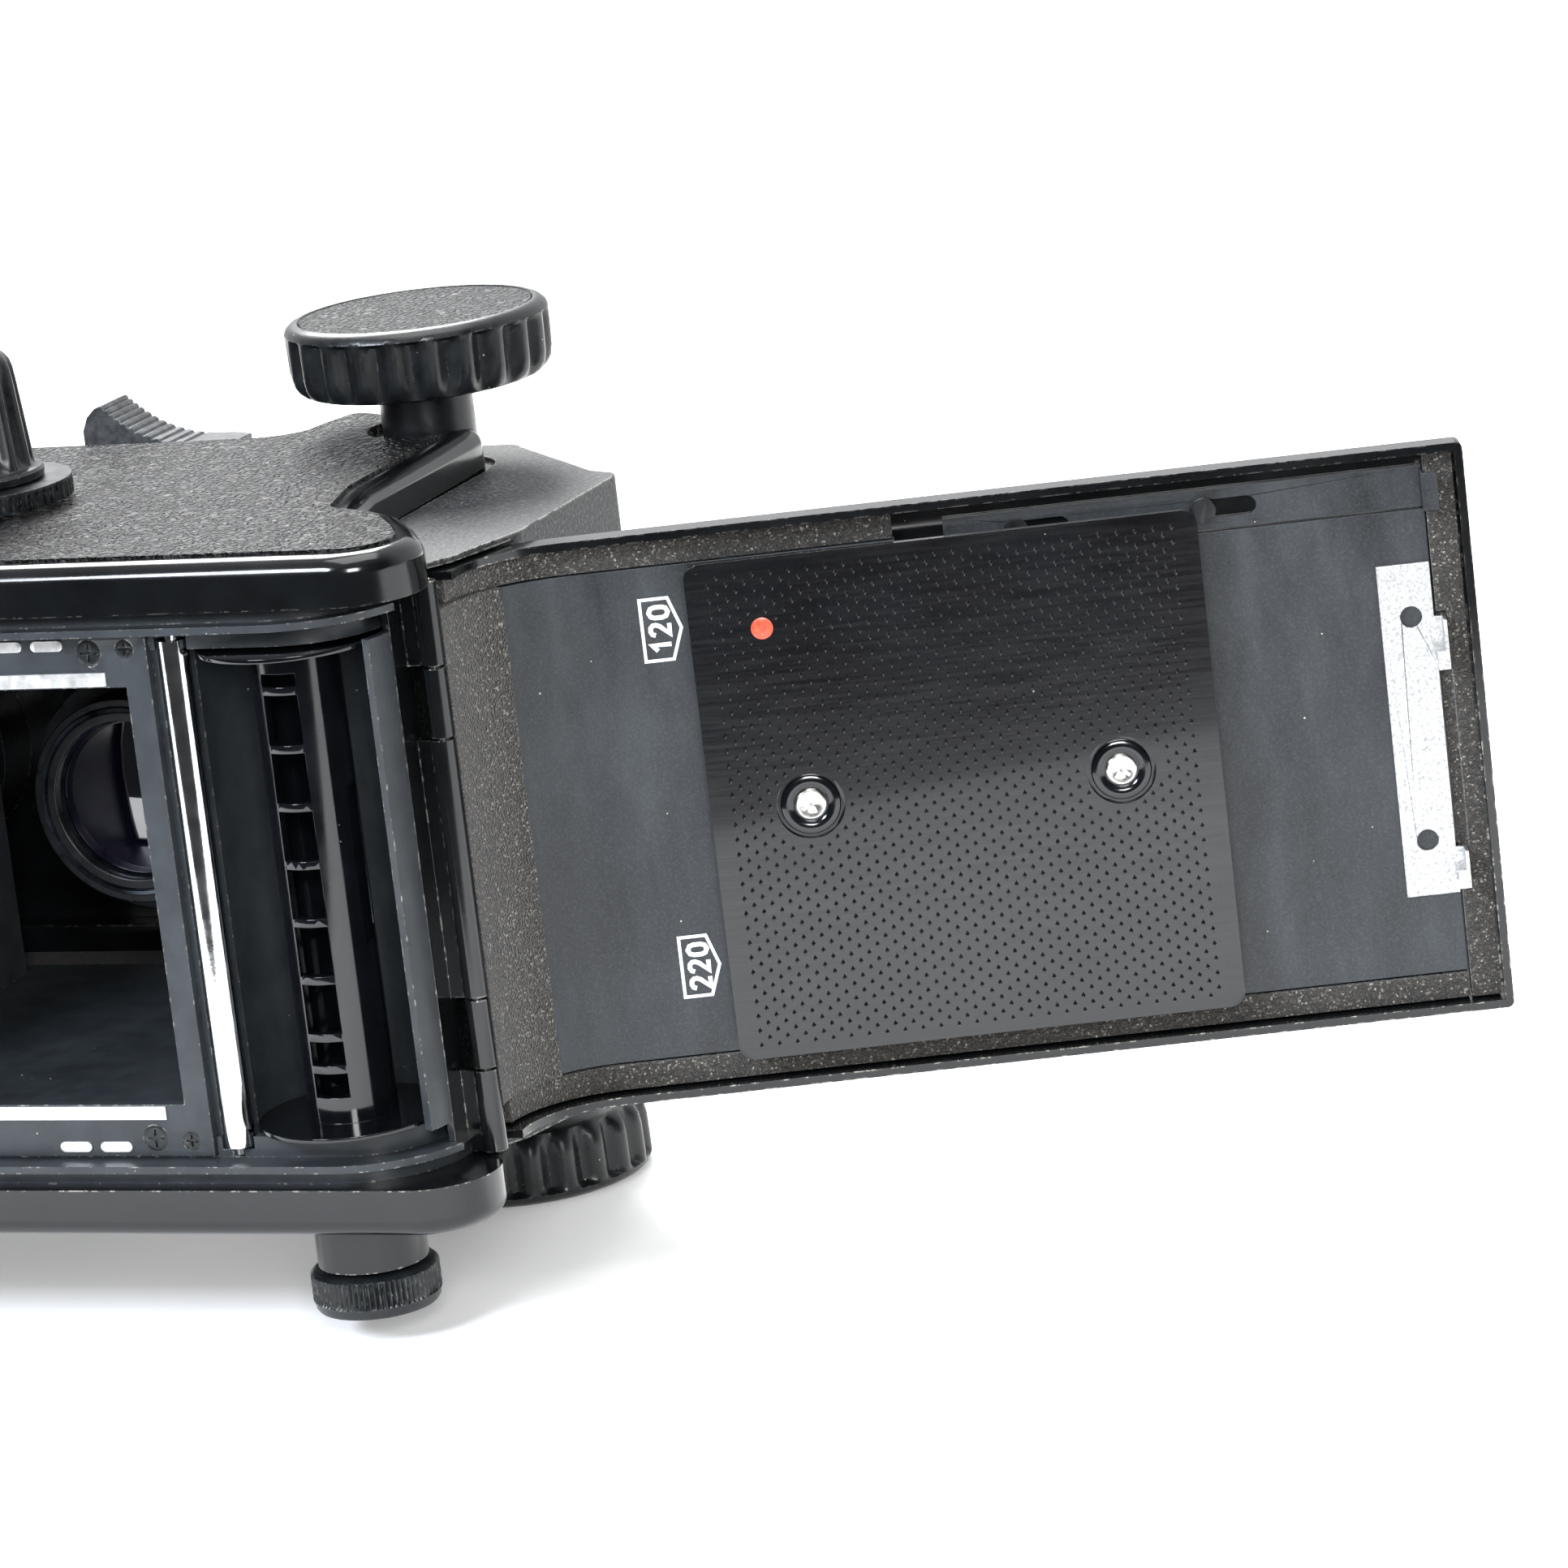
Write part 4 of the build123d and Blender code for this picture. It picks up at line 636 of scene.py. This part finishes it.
# Plate studs: a black collar and a bright slotted screw in each.
collars, screws = bmesh.new(), bmesh.new()
for k, su in enumerate(studs_u):
    turned(collars, on_door(su, 0, 0.0), AXIS_N,
           [(-0.1, 2.3, 0), (0.28, 2.3, 0), (0.4, 2.45, 0), (0.52, 2.7, 0), (0.54, 3.4, 0),
            (0.42, 3.8, 0), (0.2, 3.95, 0), (-0.1, 3.95, 0)], count=64, closed=True)
    turned(screws, on_door(su, 0, 0.0), AXIS_N,
           [(-0.1, 0, 0), (-0.1, 2.0, 0), (0.3, 2.0, 0), (0.42, 1.85, 0), (0.44, 0.9, 0), (0.36, 0.75, 0),
            (0.36, 0, 0)], count=48)
    for turn in (0.5, 2.07):
        a = turn + k * 0.4
        du, dz = math.cos(a) * 1.3, math.sin(a) * 1.3
        pu, pz = -math.sin(a) * 0.22, math.cos(a) * 0.22
        prism(screws, [on_door(su + x * du + y * pu, x * dz + y * pz, 0.36) for x, y in
                       ((-1, -1), (1, -1), (1, 1), (-1, 1))], AXIS_N * 0.11 * MM)
make("stud_collars", collars, spool_plastic, "film_pressure_plate", ["plate_studs"])
make("stud_screws", screws, bright_screw, "film_pressure_plate")

# Film marks on the door liner: 120 above and 220 below, each in a pointed frame, read from below upwards.
GLYPH = {"1": [[(0.15, 0.72), (0.5, 1.0), (0.5, 0.0)]],
         "2": [[(0.05, 0.76), (0.12, 0.92), (0.3, 1.0), (0.52, 0.98), (0.66, 0.86), (0.68, 0.7), (0.58, 0.5),
                (0.08, 0.0), (0.72, 0.0)]],
         "0": [[(0.38, 0.0), (0.14, 0.1), (0.06, 0.3), (0.06, 0.7), (0.14, 0.9), (0.38, 1.0), (0.62, 0.9),
                (0.7, 0.7), (0.7, 0.3), (0.62, 0.1)]]}
liner_face = 3.55     # liner depth below the plate's middle plane, in mm


def mark(bm, text, u0, u1, z0, z1):
    """Figures in a pointed frame, printed on the door liner between these limits in mm."""
    def put(a, b, h):
        return on_door(a, b, -liner_face + h)

    tip = (u1 - u0) * 0.28
    frame_line = [(u0, z0), (u0, z1), (u1 - tip, z1), (u1, (z0 + z1) / 2), (u1 - tip, z0)]
    stroke(bm, frame_line, 0.42, 0.05, put, True)
    step = (z1 - z0 - 1.3) / len(text)
    for i, ch in enumerate(text):
        foot = z0 + 0.75 + step * i
        for line in GLYPH[ch]:
            pts = [(u0 + 3.55 - 2.5 * y, foot + 0.2 + x * step * 0.95) for x, y in line]
            stroke(bm, pts, 0.6, 0.05, put, ch == "0")


bm = bmesh.new()
mark(bm, "120", 26.3, 31.4, 20.5, 28.7)
mark(bm, "220", 26.1, 31.1, -25.0, -16.9)
make("film_marks", bm, white_ink, "back_door")

# ------------------------------------------------------------------ floor, light, camera
# The floor starts a little way in front of the object, so the gloss parts mirror the dark beyond its edge.
FLOOR_SIZE, FLOOR_EDGE, FLOOR_GAP = 8, -0.24, 0.0003
floor_at = (0, FLOOR_EDGE + FLOOR_SIZE / 2, cad_box[0][2] - FLOOR_GAP)
bpy.ops.mesh.primitive_grid_add(x_subdivisions=2, y_subdivisions=2, size=FLOOR_SIZE, location=floor_at)
floor = bpy.context.object
floor.name = "studio_floor"
paper, t, s, co = new_material("white_paper", Roughness=0.75, **{
    "Emission Color": linear("#ffffff"), "Emission Strength": 0.25})
feed(t, s, Base_Color=mottle(t, co, 60, 3, [(0.3, "#f2f2f1"), (0.7, "#f8f8f7")]))
floor.data.materials.append(paper)


def soft_light(name, place, target, size, power, colour="#ffffff"):
    """A rectangular softbox at a place, turned towards a target, with its power in watts."""
    lamp = bpy.data.lights.new(name, "AREA")
    lamp.shape = "RECTANGLE"
    lamp.size, lamp.size_y = size
    lamp.energy = power
    lamp.color = linear(colour)[:3]
    o = bpy.data.objects.new(name, lamp)
    scene.collection.objects.link(o)
    o.location = place
    o.rotation_euler = (Vector(target) - Vector(place)).to_track_quat("-Z", "Y").to_euler()


soft_light("key_behind_left", (-0.55, 0.75, 0.95), (0, 0, 0), (0.7, 0.7), 26)
soft_light("overhead", (0.1, -0.1, 1.3), (0, 0, 0), (1.0, 1.0), 12)
soft_light("fill_by_viewer", (0.42, -0.92, 0.36), (-0.03, 0, 0), (0.3, 0.3), 8)
soft_light("window_behind_viewer", (-0.42, -0.95, 0.62), (-0.05, 0, 0), (0.34, 0.26), 17, "#eaf2ff")
world = bpy.data.worlds.new("studio")
scene.world = world
world.use_nodes = True
wt = world.node_tree
way = add(wt, "SeparateXYZ", {0: add(wt, "TexCoord", out="Generated")}, None).outputs
back = add(wt, "MapRange", {"From Min": -0.1, "From Max": 0.4, "To Min": 0.05, "To Max": 1.15,
                            "Value": way["Y"]})
above = add(wt, "MapRange", {"From Min": 0.45, "From Max": 0.98, "To Min": 0.0, "To Max": 0.7,
                             "Value": way["Z"]})
sky = wt.nodes["Background"].inputs
wt.links.new(add(wt, "Math", {0: back, 1: above}, operation="MAXIMUM"), sky["Strength"])
sky["Color"].default_value = linear("#f4f6f8")
scene.view_settings.view_transform = "Standard"

# The view: behind the object and to its side, 22.6 degrees round, 13.5 degrees up and rolled by 1.1 degrees.
eye = Vector((0.38618, -0.86106, 0.22483))
forward = Vector((-0.37301567, 0.89818474, -0.23264455))
up = Vector((0.01927001, 0.25818742, 0.96590265))
right = forward.cross(up).normalized()
cam_data = bpy.data.cameras.new("view")
cam_data.sensor_width = 36
cam_data.lens = 168.03
cam_data.clip_start = 0.05
cam = bpy.data.objects.new("view", cam_data)
scene.collection.objects.link(cam)
cam.matrix_world = Matrix.Translation(eye) @ Matrix((right, up, -forward)).transposed().to_4x4()
scene.camera = cam
